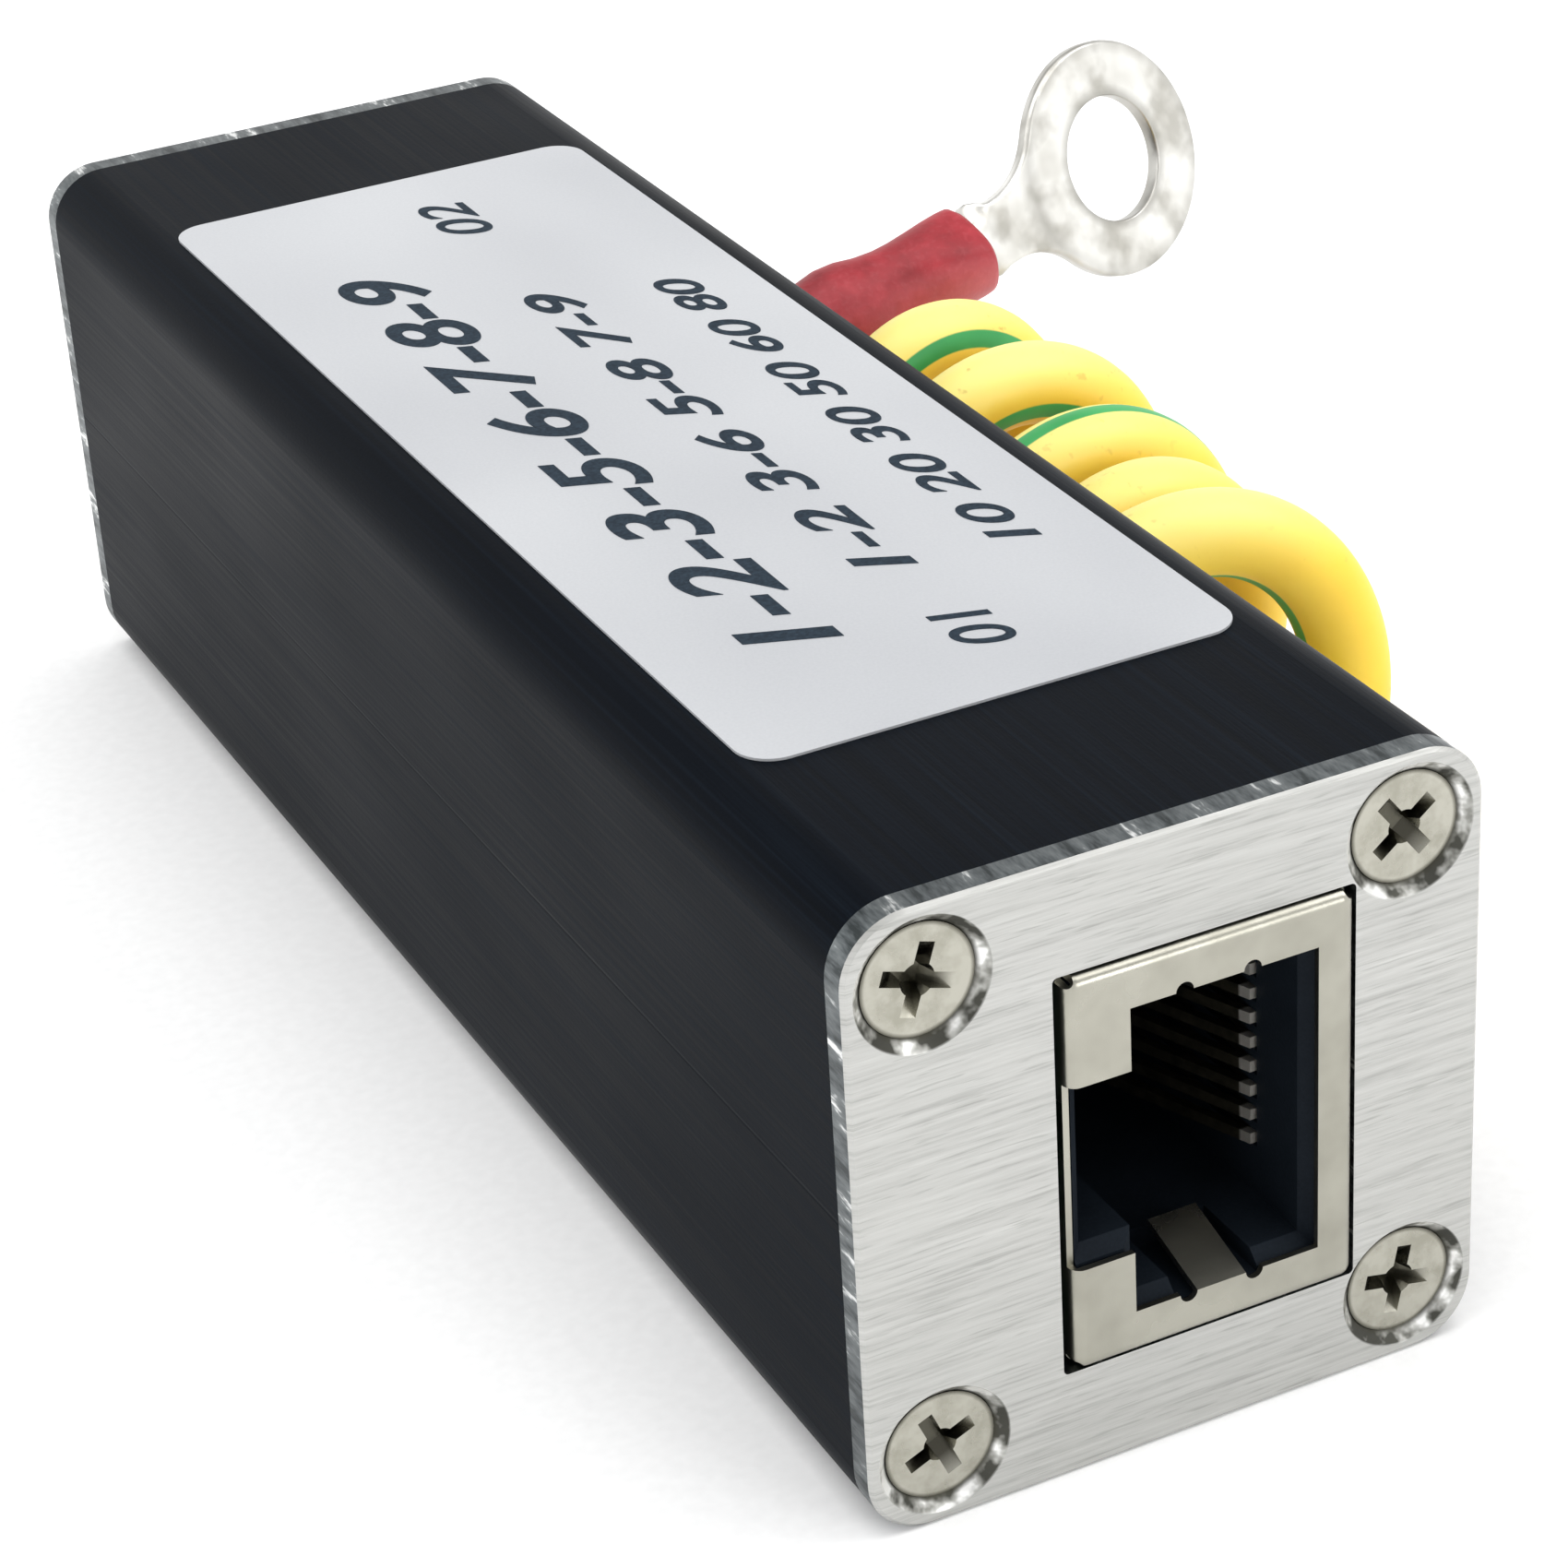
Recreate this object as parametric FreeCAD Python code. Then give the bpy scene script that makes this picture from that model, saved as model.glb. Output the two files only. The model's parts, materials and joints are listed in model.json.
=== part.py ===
"""Inline surge protector for a network cable: an extruded box with a socket in
each end plate, the protection board inside, and an earth lead with a ring terminal.

Millimetres, +Z up. The origin is the centre of the box's underside. +Y runs from
the line end to the equipment end, and +X is the side that the earth lead leaves.
"""
import math
import os

import FreeCAD
import Part

V = FreeCAD.Vector

# Network socket, the size that the rest is built round
JACK_HEIGHT = 11.5
JACK_WIDTH = 16.1
JACK_DEPTH = 21.3
JACK_PROUD = 0.3

# Gas discharge tubes with three electrodes
GAS_TUBE_RADIUS = 2.5
GAS_TUBE_LENGTH = 7.6
GAS_RING_RADIUS = 2.7
GAS_RING_WIDTH = 0.9
GAS_CAP_WIDTH = 0.7
GAS_CERAMIC_STEP = 0.15
GAS_STAND_OFF = 0.35
GAS_LEG_RADIUS = 0.4
GAS_LEG_HOLE_GAP = 0.12
GAS_LEG_TAIL = 0.9
GAS_TUBE_SPACE = 1.1
GAS_TUBE_END_SPACE = 3.0

# Surge diodes, soldered flat on the board
DIODE_LENGTH = 4.4
DIODE_WIDTH = 3.6
DIODE_HEIGHT = 2.2
DIODE_DRAFT = 0.25
DIODE_TERMINAL = 0.45
DIODE_TERMINAL_WIDTH = 2.0
DIODE_SPACE = 2.4
DIODE_END_SPACE = 4.6
DIODE_TERMINAL_LAP = 0.6
DIODE_STAND_OFF = 0.1

# Earth lead, and the free length that the board keeps beside it and at its end
LEAD_RADIUS = 1.9
LEAD_SPACE = 3.8
BOARD_SPARE = 7.8

# Housing tube: square extrusion with screw channels in its corners, wide enough for the
# socket between the screws and long enough for what stands between the two sockets
TUBE_WALL = 1.5
TUBE_EDGE_RADIUS = 2.5
SCREW_INSET = 3.0
SCREW_TO_JACK = 1.45
CHANNEL_RADIUS = 2.3
PILOT_RADIUS = 1.05
PLATE_THICKNESS = 1.2
SOCKET_IN_TUBE = JACK_DEPTH - JACK_PROUD - PLATE_THICKNESS
GAS_ROW = GAS_TUBE_SPACE + 2 * GAS_RING_RADIUS
LEAD_ROW = LEAD_SPACE + 2 * LEAD_RADIUS
DIODE_ROW = DIODE_SPACE + DIODE_WIDTH
TUBE_SIDE = JACK_WIDTH + 2 * (SCREW_INSET + SCREW_TO_JACK)
TUBE_LENGTH = 2 * SOCKET_IN_TUBE + 2 * GAS_ROW + LEAD_ROW + 2 * DIODE_ROW + BOARD_SPARE
MID_Z = TUBE_SIDE / 2
INNER_HALF = TUBE_SIDE / 2 - TUBE_WALL

# End plates: the window stands off the socket most on the board's side
PLATE_EDGE_CHAMFER = 0.15
SCREW_CLEARANCE_RADIUS = 1.4
COUNTERSINK_RADIUS = 2.6
WINDOW_LOW_GAP = 0.35
WINDOW_HIGH_GAP = 0.15
WINDOW_SIDE_GAP = 0.1
WINDOW_RADIUS = 0.2
FRONT_Y = -TUBE_LENGTH / 2 - PLATE_THICKNESS

# Countersunk cross-head screws, M2.5
SCREW_CORE_RADIUS = 1.0
SCREW_HEAD_RIM = 0.05
SCREW_HEAD_SUNK = 0.4
SCREW_HEAD_RADIUS = COUNTERSINK_RADIUS - SCREW_HEAD_SUNK - SCREW_HEAD_RIM
SCREW_LENGTH = 8.0
CROSS_WIDTH = 0.6
CROSS_SPAN = 2.8
CROSS_FOOT = 1.0
CROSS_DEPTH = 0.9
CROSS_CORE_RADIUS = 0.65
CROSS_TURNS = (18.0, 52.0, 12.0, 67.0)

# Circuit board, upright in the slots of the extrusion
BOARD_THICKNESS = 1.6
BOARD_FACE_X = -4.35
BOARD_SLOT_GAP = 0.15
BOARD_EDGE_GAP = 0.3
BOARD_END_GAP = 1.0
SLOT_RIB_HEIGHT = 1.2
SLOT_RIB_THICKNESS = 1.0
BOARD_BACK_X = BOARD_FACE_X - BOARD_THICKNESS
BOARD_LOW_Z = TUBE_WALL + BOARD_EDGE_GAP
BOARD_HIGH_Z = TUBE_SIDE - BOARD_LOW_Z
BOARD_HALF_LENGTH = TUBE_LENGTH / 2 - BOARD_END_GAP

# The socket lies on its side: the board side faces -X, the contacts are on the +X side
SHEET = 0.25
SHIELD_FOLD_RADIUS = 0.5
SHIELD_GAP = 0.05
SHIELD_FLOOR_BACK = 4.0
JACK_LOW_X = BOARD_FACE_X
JACK_HIGH_X = JACK_LOW_X + JACK_HEIGHT
JACK_MID_X = JACK_LOW_X + JACK_HEIGHT / 2
JACK_LOW_Z = MID_Z - JACK_WIDTH / 2
JACK_HIGH_Z = MID_Z + JACK_WIDTH / 2
JACK_FRONT_Y = FRONT_Y - JACK_PROUD
JACK_BACK_Y = JACK_FRONT_Y + JACK_DEPTH

# Socket opening: the plug's slot and the narrower slot for its latch
PORT_WIDTH = 12.5
PORT_HIGH_INSET = 1.55
PORT_HEIGHT = 7.5
LATCH_WIDTH = 7.5
FINGER_WIDTH = 2.0
FINGER_MID_X = 1.6
FINGER_RELIEF_RADIUS = 0.35
FINGER_REACH = 3.4
FINGER_LEAN = 1.0
FINGER_ROOM_END = 0.6
FINGER_ROOM_SIDE = 0.2
CORNER_RELIEF_RADIUS = 0.4
CORNER_RELIEF_DEPTH = 0.8
PORT_HIGH_X = JACK_HIGH_X - PORT_HIGH_INSET
PORT_LOW_X = PORT_HIGH_X - PORT_HEIGHT

# Plastic body of the socket
BODY_SETBACK = 0.15
CAVITY_WIDTH = 11.9
CAVITY_HEIGHT = 6.9
CAVITY_FLOOR = 1.2
CAVITY_LATCH_WIDTH = 6.4
CAVITY_LATCH_FLOOR = 0.4
LEAD_IN = 0.5
CARRIER_DEPTH = 6.2
CARRIER_TOP_INSET = 0.6
CARRIER_SIDE_INSET = 1.2
PEG_RADIUS = 1.55
PEG_HOLE_GAP = 0.1
PEG_SPREAD = 11.43
PEG_BACK = 9.0

# Contacts: flat springs that fold back into the socket
CONTACT_COUNT = 8
CONTACT_PITCH = 1.02
CONTACT_WIDTH = 0.45
CONTACT_THICKNESS = 0.35
CONTACT_FOLD_BACK = 3.9
CONTACT_FOLD_DROP = 1.3 * CONTACT_THICKNESS
CONTACT_TOP_INSET = 1.45
CONTACT_DIP = 2.9
CONTACT_TIP_BACK = 10.2
CONTACT_TAIL = 1.0
PIN_ROW_BACK = (JACK_DEPTH - 5.7, JACK_DEPTH - 3.2)
PIN_HOLE_GAP = 0.15
COMB_SLOT_GAP = 0.1
COMB_SLOT_DEPTH = 1.0

# Shield legs in the board
LEG_WIDTH = 1.6
LEG_BACK = 12.0
LEG_TAIL = 0.9
LEG_LAP = 1.0
LEG_HOLE_GAP = 0.15

# Label on the top face
LABEL_WIDTH = 20.0
LABEL_LENGTH = 60.0
LABEL_THICKNESS = 0.1
LABEL_RADIUS = 1.5

# The lead's way out through the grommet, between the two pairs of gas tubes
CORE_RADIUS = 0.85
LEAD_Y = JACK_BACK_Y + GAS_ROW + LEAD_SPACE + LEAD_RADIUS
LEAD_Z = 15.2
LEAD_STRIP_LENGTH = 2.8
LEAD_CORE_TAIL = 0.9
SOLDER_RADIUS = 1.5
SOLDER_HEIGHT = 0.8
SOLDER_TIP_STEP = 0.15
CORE_HOLE_GAP = 0.1
GROMMET_FLANGE_RADIUS = 3.5
GROMMET_NECK_RADIUS = 2.8
GROMMET_FLANGE = 0.7
GROMMET_GAP = 0.05
GROMMET_HOLE_GAP = 0.05
GROMMET_ROOM = 0.3

# Coil of the lead, lying against the box on the same surface: a round coil whose turns
# have a short upright stretch on each side
COIL_RADIUS = 6.8
COIL_UPRIGHT = 1.2
COIL_WALL_GAP = 0.2
COIL_FIRST_STEP = 0.4
COIL_FIRST_TOP_Y = LEAD_Y + COIL_FIRST_STEP
COIL_LAST_TOP_Y = 15.9
COIL_END_LEAN = 3.4
COIL_FRONT_LEAN = 1.7
COIL_X = TUBE_SIDE / 2 + COIL_WALL_GAP + COIL_RADIUS + LEAD_RADIUS
COIL_Z = COIL_RADIUS + COIL_UPRIGHT / 2 + LEAD_RADIUS

# Ring terminal for an M6 stud, crimped on the lead in an insulating sleeve
RING_CENTRE = V(38.1, 28.0, 18.7)
TONGUE_AXIS = V(0.93, 0.34, 0.14)
RING_NORMAL = V(0.25, -0.91, 0.32)
NECK_BEND_DEG = 14.0
RING_RADIUS = 5.8
STUD_HOLE_RADIUS = 3.2
TERMINAL_SHEET = 0.8
NECK_WIDTH = 3.6
NECK_FLARE = 5.2
NECK_FLARE_BOW = 0.6
NECK_STRAIGHT = 2.6
BEND_TO_RING = 8.9
SLEEVE_TO_BEND = 1.4
BARREL_RADIUS = 1.45
BARREL_OUT = 0.5
SLEEVE_LENGTH = 10.8
SLEEVE_RADIUS = 2.4
# Each section's place as a share of the length, its half width and height as shares of the radius
SLEEVE_SECTIONS = ((0.0, 1.03, 1.0), (0.2, 1.03, 0.98), (0.45, 1.05, 0.78), (0.75, 1.03, 0.92), (1.0, 1.03, 0.88))
SLEEVE_MOUTH_DEPTH = 3.0
SLEEVE_BORE_GAP = 0.05

# Points of the lead's last stretch, from the coil round to the sleeve, and the share of
# the shorter run that a bend takes
BEND_SHARE = 0.45
TAIL_ROUTE = [
    V(15.9, 20.0, 4.4),
    V(14.5, 20.9, 8.0),
    V(14.5, 22.3, 11.6),
]


def box(x0, x1, y0, y1, z0, z1):
    """A box between two corners."""
    return Part.makeBox(x1 - x0, y1 - y0, z1 - z0, V(x0, y0, z0))


def cylinder_y(radius, x, z, y0, y1):
    """A cylinder along Y."""
    return Part.makeCylinder(radius, y1 - y0, V(x, y0, z), V(0, 1, 0))


def cylinder_x(radius, y, z, x0, x1):
    """A cylinder along X."""
    return Part.makeCylinder(radius, x1 - x0, V(x0, y, z), V(1, 0, 0))


def rounded_bar(x0, x1, y0, y1, z0, z1, radius):
    """A box whose four edges along Y are rounded."""
    bar = box(x0, x1, y0, y1, z0, z1)
    edges = [e for e in bar.Edges if abs(e.tangentAt(e.FirstParameter).y) > 0.99]
    return bar.makeFillet(radius, edges)


def prism(points, offset):
    """The closed outline through the points, pushed along the offset."""
    wire = Part.makePolygon(points + [points[0]])
    return Part.Face(wire).extrude(offset)


def fuse_all(shapes):
    """One solid from shapes that meet."""
    joined = shapes[0].multiFuse(shapes[1:])
    return joined.removeSplitter()


def to_rear(shape):
    """The same piece turned end for end about the box's cross axis."""
    turned = shape.copy()
    turned.rotate(V(0, 0, MID_Z), V(1, 0, 0), 180)
    return turned


def screw_places():
    """The four screw centres as x and z."""
    reach = TUBE_SIDE / 2 - SCREW_INSET
    return [(sx * reach, MID_Z + sz * reach) for sx, sz in ((-1, 1), (1, 1), (1, -1), (-1, -1))]


def pin_places():
    """Each contact's z and the depth of its pin behind the socket's front."""
    first = MID_Z - CONTACT_PITCH * (CONTACT_COUNT - 1) / 2
    return [(first + CONTACT_PITCH * i, PIN_ROW_BACK[i % 2]) for i in range(CONTACT_COUNT)]


def slot_ribs():
    """Pairs of ribs that hold the board's long edges."""
    near = BOARD_FACE_X + BOARD_SLOT_GAP
    far = BOARD_BACK_X - BOARD_SLOT_GAP
    half = TUBE_LENGTH / 2
    ribs = []
    for x0, x1 in ((near, near + SLOT_RIB_THICKNESS), (far - SLOT_RIB_THICKNESS, far)):
        low_top = TUBE_WALL + SLOT_RIB_HEIGHT
        ribs.append(box(x0, x1, -half, half, TUBE_WALL / 2, low_top))
        ribs.append(box(x0, x1, -half, half, TUBE_SIDE - low_top, TUBE_SIDE - TUBE_WALL / 2))
    return ribs


def housing_tube():
    """The extrusion: square tube, corner screw channels, board slots, lead hole."""
    side = TUBE_SIDE / 2
    half = TUBE_LENGTH / 2
    outer = rounded_bar(-side, side, -half, half, 0, TUBE_SIDE, TUBE_EDGE_RADIUS)
    hollow = box(-INNER_HALF, INNER_HALF, -half, half, TUBE_WALL, TUBE_SIDE - TUBE_WALL)
    shell = outer.cut(hollow)
    channels = [cylinder_y(CHANNEL_RADIUS, x, z, -half, half) for x, z in screw_places()]
    body = fuse_all([shell] + channels + slot_ribs())
    for x, z in screw_places():
        body = body.cut(cylinder_y(PILOT_RADIUS, x, z, -half, half))
    lead_hole = GROMMET_NECK_RADIUS + GROMMET_HOLE_GAP
    return body.cut(cylinder_x(lead_hole, LEAD_Y, LEAD_Z, side - TUBE_WALL - 1, side + 1))


def front_end_plate():
    """A sheet plate with the socket's window and four countersunk holes."""
    side = TUBE_SIDE / 2
    back_y = FRONT_Y + PLATE_THICKNESS
    plate = rounded_bar(-side, side, FRONT_Y, back_y, 0, TUBE_SIDE, TUBE_EDGE_RADIUS)
    rim = [e for e in plate.Edges if e.BoundBox.YMax < FRONT_Y + 0.001]
    plate = plate.makeChamfer(PLATE_EDGE_CHAMFER, rim)
    window = rounded_bar(
        JACK_LOW_X - WINDOW_LOW_GAP, JACK_HIGH_X + WINDOW_HIGH_GAP,
        FRONT_Y - 1, back_y + 1,
        JACK_LOW_Z - WINDOW_SIDE_GAP, JACK_HIGH_Z + WINDOW_SIDE_GAP, WINDOW_RADIUS)
    plate = plate.cut(window)
    sink_depth = COUNTERSINK_RADIUS - SCREW_CLEARANCE_RADIUS
    for x, z in screw_places():
        hole = cylinder_y(SCREW_CLEARANCE_RADIUS, x, z, FRONT_Y - 1, back_y + 1)
        sink = Part.makeCone(
            COUNTERSINK_RADIUS, SCREW_CLEARANCE_RADIUS, sink_depth, V(x, FRONT_Y, z), V(0, 1, 0))
        plate = plate.cut(hole.fuse(sink))
    return plate


def cross_recess(face_y):
    """The cross of the driver's recess with its tapered middle, centred on the Y axis."""
    top, foot, half = CROSS_SPAN / 2, CROSS_FOOT / 2, CROSS_WIDTH / 2
    above = face_y - CROSS_DEPTH
    end = face_y + CROSS_DEPTH
    outline = [
        V(-top, above, -half), V(top, above, -half), V(top, face_y, -half),
        V(foot, end, -half), V(-foot, end, -half), V(-top, face_y, -half)]
    wing = prism(outline, V(0, 0, CROSS_WIDTH))
    crosswise = wing.copy()
    crosswise.rotate(V(0, 0, 0), V(0, 1, 0), 90)
    middle = Part.makeCone(CROSS_CORE_RADIUS, half, CROSS_DEPTH, V(0, face_y, 0), V(0, 1, 0))
    return wing.multiFuse([crosswise, middle])


def plate_screw(x, z, turn):
    """A countersunk screw whose core fills the channel's pilot hole."""
    face_y = FRONT_Y + SCREW_HEAD_SUNK
    cone_start = face_y + SCREW_HEAD_RIM
    head_end = FRONT_Y + PLATE_THICKNESS
    rim = cylinder_y(SCREW_HEAD_RADIUS, 0, 0, face_y, cone_start)
    cone = Part.makeCone(
        SCREW_HEAD_RADIUS, SCREW_CORE_RADIUS, head_end - cone_start, V(0, cone_start, 0), V(0, 1, 0))
    core = cylinder_y(SCREW_CORE_RADIUS, 0, 0, head_end, face_y + SCREW_LENGTH)
    screw = fuse_all([rim, cone, core]).cut(cross_recess(face_y))
    screw.rotate(V(0, 0, 0), V(0, 1, 0), turn)
    screw.translate(V(x, 0, z))
    return screw


def front_plate_screws():
    """The plate's four screws, driven home at different angles."""
    screws = [plate_screw(x, z, turn) for (x, z), turn in zip(screw_places(), CROSS_TURNS)]
    return Part.makeCompound(screws)


def port_outline(y):
    """The stepped outline of the shield's opening: plug slot and latch slot."""
    low_z, high_z = MID_Z - PORT_WIDTH / 2, MID_Z + PORT_WIDTH / 2
    latch_low, latch_high = MID_Z - LATCH_WIDTH / 2, MID_Z + LATCH_WIDTH / 2
    edge = JACK_LOW_X - 1
    corners = [
        (PORT_HIGH_X, low_z), (PORT_HIGH_X, high_z), (PORT_LOW_X, high_z), (PORT_LOW_X, latch_high),
        (edge, latch_high), (edge, latch_low), (PORT_LOW_X, latch_low), (PORT_LOW_X, low_z),
    ]
    return [V(x, y, z) for x, z in corners]


def spring_finger(side):
    """A tongue of the shield, bent in from the opening's edge. side is 1 at the top."""
    edge_z = MID_Z + side * PORT_WIDTH / 2
    start_y = JACK_FRONT_Y
    end_y = start_y + FINGER_REACH
    tip_z = edge_z - side * FINGER_LEAN
    outline = [
        V(FINGER_MID_X - FINGER_WIDTH / 2, start_y, edge_z),
        V(FINGER_MID_X - FINGER_WIDTH / 2, end_y, tip_z),
        V(FINGER_MID_X - FINGER_WIDTH / 2, end_y, tip_z + side * SHEET),
        V(FINGER_MID_X - FINGER_WIDTH / 2, start_y + SHEET, edge_z + side * SHEET),
        V(FINGER_MID_X - FINGER_WIDTH / 2, start_y, edge_z + side * SHEET),
    ]
    return prism(outline, V(FINGER_WIDTH, 0, 0))


def shield_legs():
    """Two soldered legs that carry the shield's side walls through the board."""
    y0 = JACK_FRONT_Y + LEG_BACK
    x0 = BOARD_BACK_X - LEG_TAIL
    x1 = JACK_LOW_X + LEG_LAP
    low = box(x0, x1, y0, y0 + LEG_WIDTH, JACK_LOW_Z, JACK_LOW_Z + SHEET)
    high = box(x0, x1, y0, y0 + LEG_WIDTH, JACK_HIGH_Z - SHEET, JACK_HIGH_Z)
    return [low, high]


def front_jack_shield():
    """The folded sheet can round the socket, with its stepped opening and fingers."""
    outer = box(JACK_LOW_X, JACK_HIGH_X, JACK_FRONT_Y, JACK_BACK_Y, JACK_LOW_Z, JACK_HIGH_Z)
    folds = [e for e in outer.Edges if e.BoundBox.YMin < JACK_FRONT_Y + 0.001]
    outer = outer.makeFillet(SHIELD_FOLD_RADIUS, folds)
    hollow = box(
        JACK_LOW_X + SHEET, JACK_HIGH_X - SHEET, JACK_FRONT_Y + SHEET, JACK_BACK_Y - SHEET,
        JACK_LOW_Z + SHEET, JACK_HIGH_Z - SHEET)
    can = outer.cut(hollow)
    opening = prism(port_outline(JACK_FRONT_Y - 1), V(0, 1 + 2 * SHEET, 0))
    can = can.cut(opening)
    board_side = box(
        JACK_LOW_X - 1, JACK_LOW_X + 2 * SHEET, JACK_FRONT_Y + SHIELD_FLOOR_BACK, JACK_BACK_Y - 2 * SHEET,
        JACK_LOW_Z + 2 * SHEET, JACK_HIGH_Z - 2 * SHEET)
    can = can.cut(board_side)
    for x in (JACK_LOW_X, JACK_HIGH_X):
        for z in (JACK_LOW_Z, JACK_HIGH_Z):
            relief_end = JACK_FRONT_Y + CORNER_RELIEF_DEPTH
            can = can.cut(cylinder_y(CORNER_RELIEF_RADIUS, x, z, JACK_FRONT_Y - 1, relief_end))
    for side in (1, -1):
        edge_z = MID_Z + side * PORT_WIDTH / 2
        for step in (-1, 1):
            x = FINGER_MID_X + step * (FINGER_WIDTH / 2 + FINGER_RELIEF_RADIUS)
            relief = cylinder_y(FINGER_RELIEF_RADIUS, x, edge_z, JACK_FRONT_Y - 1, JACK_FRONT_Y + 2 * SHEET)
            can = can.cut(relief)
    return fuse_all([can, spring_finger(1), spring_finger(-1)] + shield_legs())


def frustum_y(x0, x1, z0, z1, y, grow):
    """A funnel that widens by grow over the same depth in front of y."""
    rear = Part.makePolygon([V(x0, y, z0), V(x1, y, z0), V(x1, y, z1), V(x0, y, z1), V(x0, y, z0)])
    a0, a1, b0, b1 = x0 - grow, x1 + grow, z0 - grow, z1 + grow
    f = y - grow
    front = Part.makePolygon([V(a0, f, b0), V(a1, f, b0), V(a1, f, b1), V(a0, f, b1), V(a0, f, b0)])
    return Part.makeLoft([front, rear], True, True)


def body_limits():
    """The plastic body's box inside the shield: x0, x1, y0, y1, z0, z1."""
    inset = SHEET + SHIELD_GAP
    return (
        JACK_LOW_X + inset, JACK_HIGH_X - inset, JACK_FRONT_Y + SHEET + BODY_SETBACK, JACK_BACK_Y - inset,
        JACK_LOW_Z + inset, JACK_HIGH_Z - inset)


def finger_room():
    """Clear space in the body's side walls for the shield's fingers."""
    half = FINGER_WIDTH / 2 + 2 * FINGER_RELIEF_RADIUS
    y1 = JACK_FRONT_Y + FINGER_REACH + FINGER_ROOM_END
    reach = PORT_WIDTH / 2 + SHEET + FINGER_ROOM_SIDE
    return box(FINGER_MID_X - half, FINGER_MID_X + half, JACK_FRONT_Y, y1, MID_Z - reach, MID_Z + reach)


def front_jack_body():
    """The plastic body: plug cavity, latch slot, comb slots, room for the carrier."""
    x0, x1, y0, y1, z0, z1 = body_limits()
    carrier_y = y1 - CARRIER_DEPTH
    floor_y = carrier_y - CAVITY_FLOOR
    block = box(x0, x1, y0, y1, z0, z1)
    high_x = PORT_HIGH_X - (PORT_HEIGHT - CAVITY_HEIGHT) / 2
    low_x = high_x - CAVITY_HEIGHT
    half = CAVITY_WIDTH / 2
    cavity = box(low_x, high_x, y0 - 1, floor_y, MID_Z - half, MID_Z + half)
    funnel = frustum_y(low_x, high_x, MID_Z - half, MID_Z + half, y0 + LEAD_IN, LEAD_IN)
    latch_half = CAVITY_LATCH_WIDTH / 2
    latch_low = x0 + CAVITY_LATCH_FLOOR
    latch = box(latch_low, high_x, y0 - 1, floor_y, MID_Z - latch_half, MID_Z + latch_half)
    latch_mouth = frustum_y(latch_low, high_x, MID_Z - latch_half, MID_Z + latch_half, y0 + LEAD_IN, LEAD_IN)
    block = block.cut(cavity.multiFuse([funnel, latch, latch_mouth, finger_room()]))
    comb_y = JACK_FRONT_Y + CONTACT_FOLD_BACK - CONTACT_THICKNESS
    comb_x = JACK_HIGH_X - CONTACT_TOP_INSET + CONTACT_THICKNESS / 2 + COMB_SLOT_GAP
    for z, _ in pin_places():
        slot_half = CONTACT_WIDTH / 2 + COMB_SLOT_GAP
        block = block.cut(
            box(high_x - COMB_SLOT_DEPTH, comb_x, comb_y, carrier_y + 0.1, z - slot_half, z + slot_half))
    block = block.cut(box(
        x0 - 1, x1 - CARRIER_TOP_INSET, carrier_y, y1 + 1,
        z0 + CARRIER_SIDE_INSET, z1 - CARRIER_SIDE_INSET))
    pegs = [jack_peg(side, x0, PEG_RADIUS) for side in (-1, 1)]
    return fuse_all([block] + pegs)


def jack_peg(side, top_x, radius):
    """A locating peg under the socket's body, or the board's hole for it."""
    y = JACK_FRONT_Y + PEG_BACK
    z = MID_Z + side * PEG_SPREAD / 2
    return cylinder_x(radius, y, z, BOARD_BACK_X, top_x)


def front_jack_contact_carrier(contacts):
    """The block at the socket's back that the contacts are moulded into."""
    x0, x1, _, y1, z0, z1 = body_limits()
    carrier_y = y1 - CARRIER_DEPTH
    block = box(
        x0, x1 - CARRIER_TOP_INSET, carrier_y, y1, z0 + CARRIER_SIDE_INSET, z1 - CARRIER_SIDE_INSET)
    return block.cut(Part.makeCompound(contacts))


def strip(points, thickness, z, width):
    """A flat strip bent along points in a plane of constant z, with mitred bends."""
    left, right = [], []
    count = len(points)
    for i, p in enumerate(points):
        before = points[i] - points[i - 1] if i else points[1] - points[0]
        after = points[i + 1] - points[i] if i < count - 1 else before
        before.normalize()
        after.normalize()
        mean = before + after
        mean.normalize()
        normal = V(-mean.y, mean.x, 0)
        reach = thickness / 2 / max(mean.dot(after), 0.3)
        left.append(p + normal * reach + V(0, 0, z - width / 2))
        right.append(p - normal * reach + V(0, 0, z - width / 2))
    return prism(left + right[::-1], V(0, 0, width))


def jack_contact(z, pin_back):
    """One contact: pin, rise behind the cavity, run forward, fold, spring arm."""
    pin_y = JACK_FRONT_Y + pin_back
    top_x = JACK_HIGH_X - CONTACT_TOP_INSET
    fold_y = JACK_FRONT_Y + CONTACT_FOLD_BACK
    fold_x = top_x - CONTACT_FOLD_DROP
    path = [
        V(BOARD_BACK_X - CONTACT_TAIL, pin_y, 0),
        V(top_x, pin_y, 0),
        V(top_x, fold_y, 0),
        V(fold_x, fold_y, 0),
        V(top_x - CONTACT_DIP, JACK_FRONT_Y + CONTACT_TIP_BACK, 0),
    ]
    return strip(path, CONTACT_THICKNESS, z, CONTACT_WIDTH)


def front_jack_contacts():
    """The socket's eight contacts."""
    return [jack_contact(z, back) for z, back in pin_places()]


def gas_tube_places():
    """The gas tubes' y and z: a pair behind the socket, a pair past the lead."""
    reach = (GAS_TUBE_LENGTH + GAS_TUBE_END_SPACE) / 2
    rows = [start + GAS_ROW - GAS_RING_RADIUS for start in (JACK_BACK_Y, LEAD_Y + LEAD_RADIUS)]
    return [(y, MID_Z + side * reach) for y in rows for side in (-1, 1)]


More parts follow.
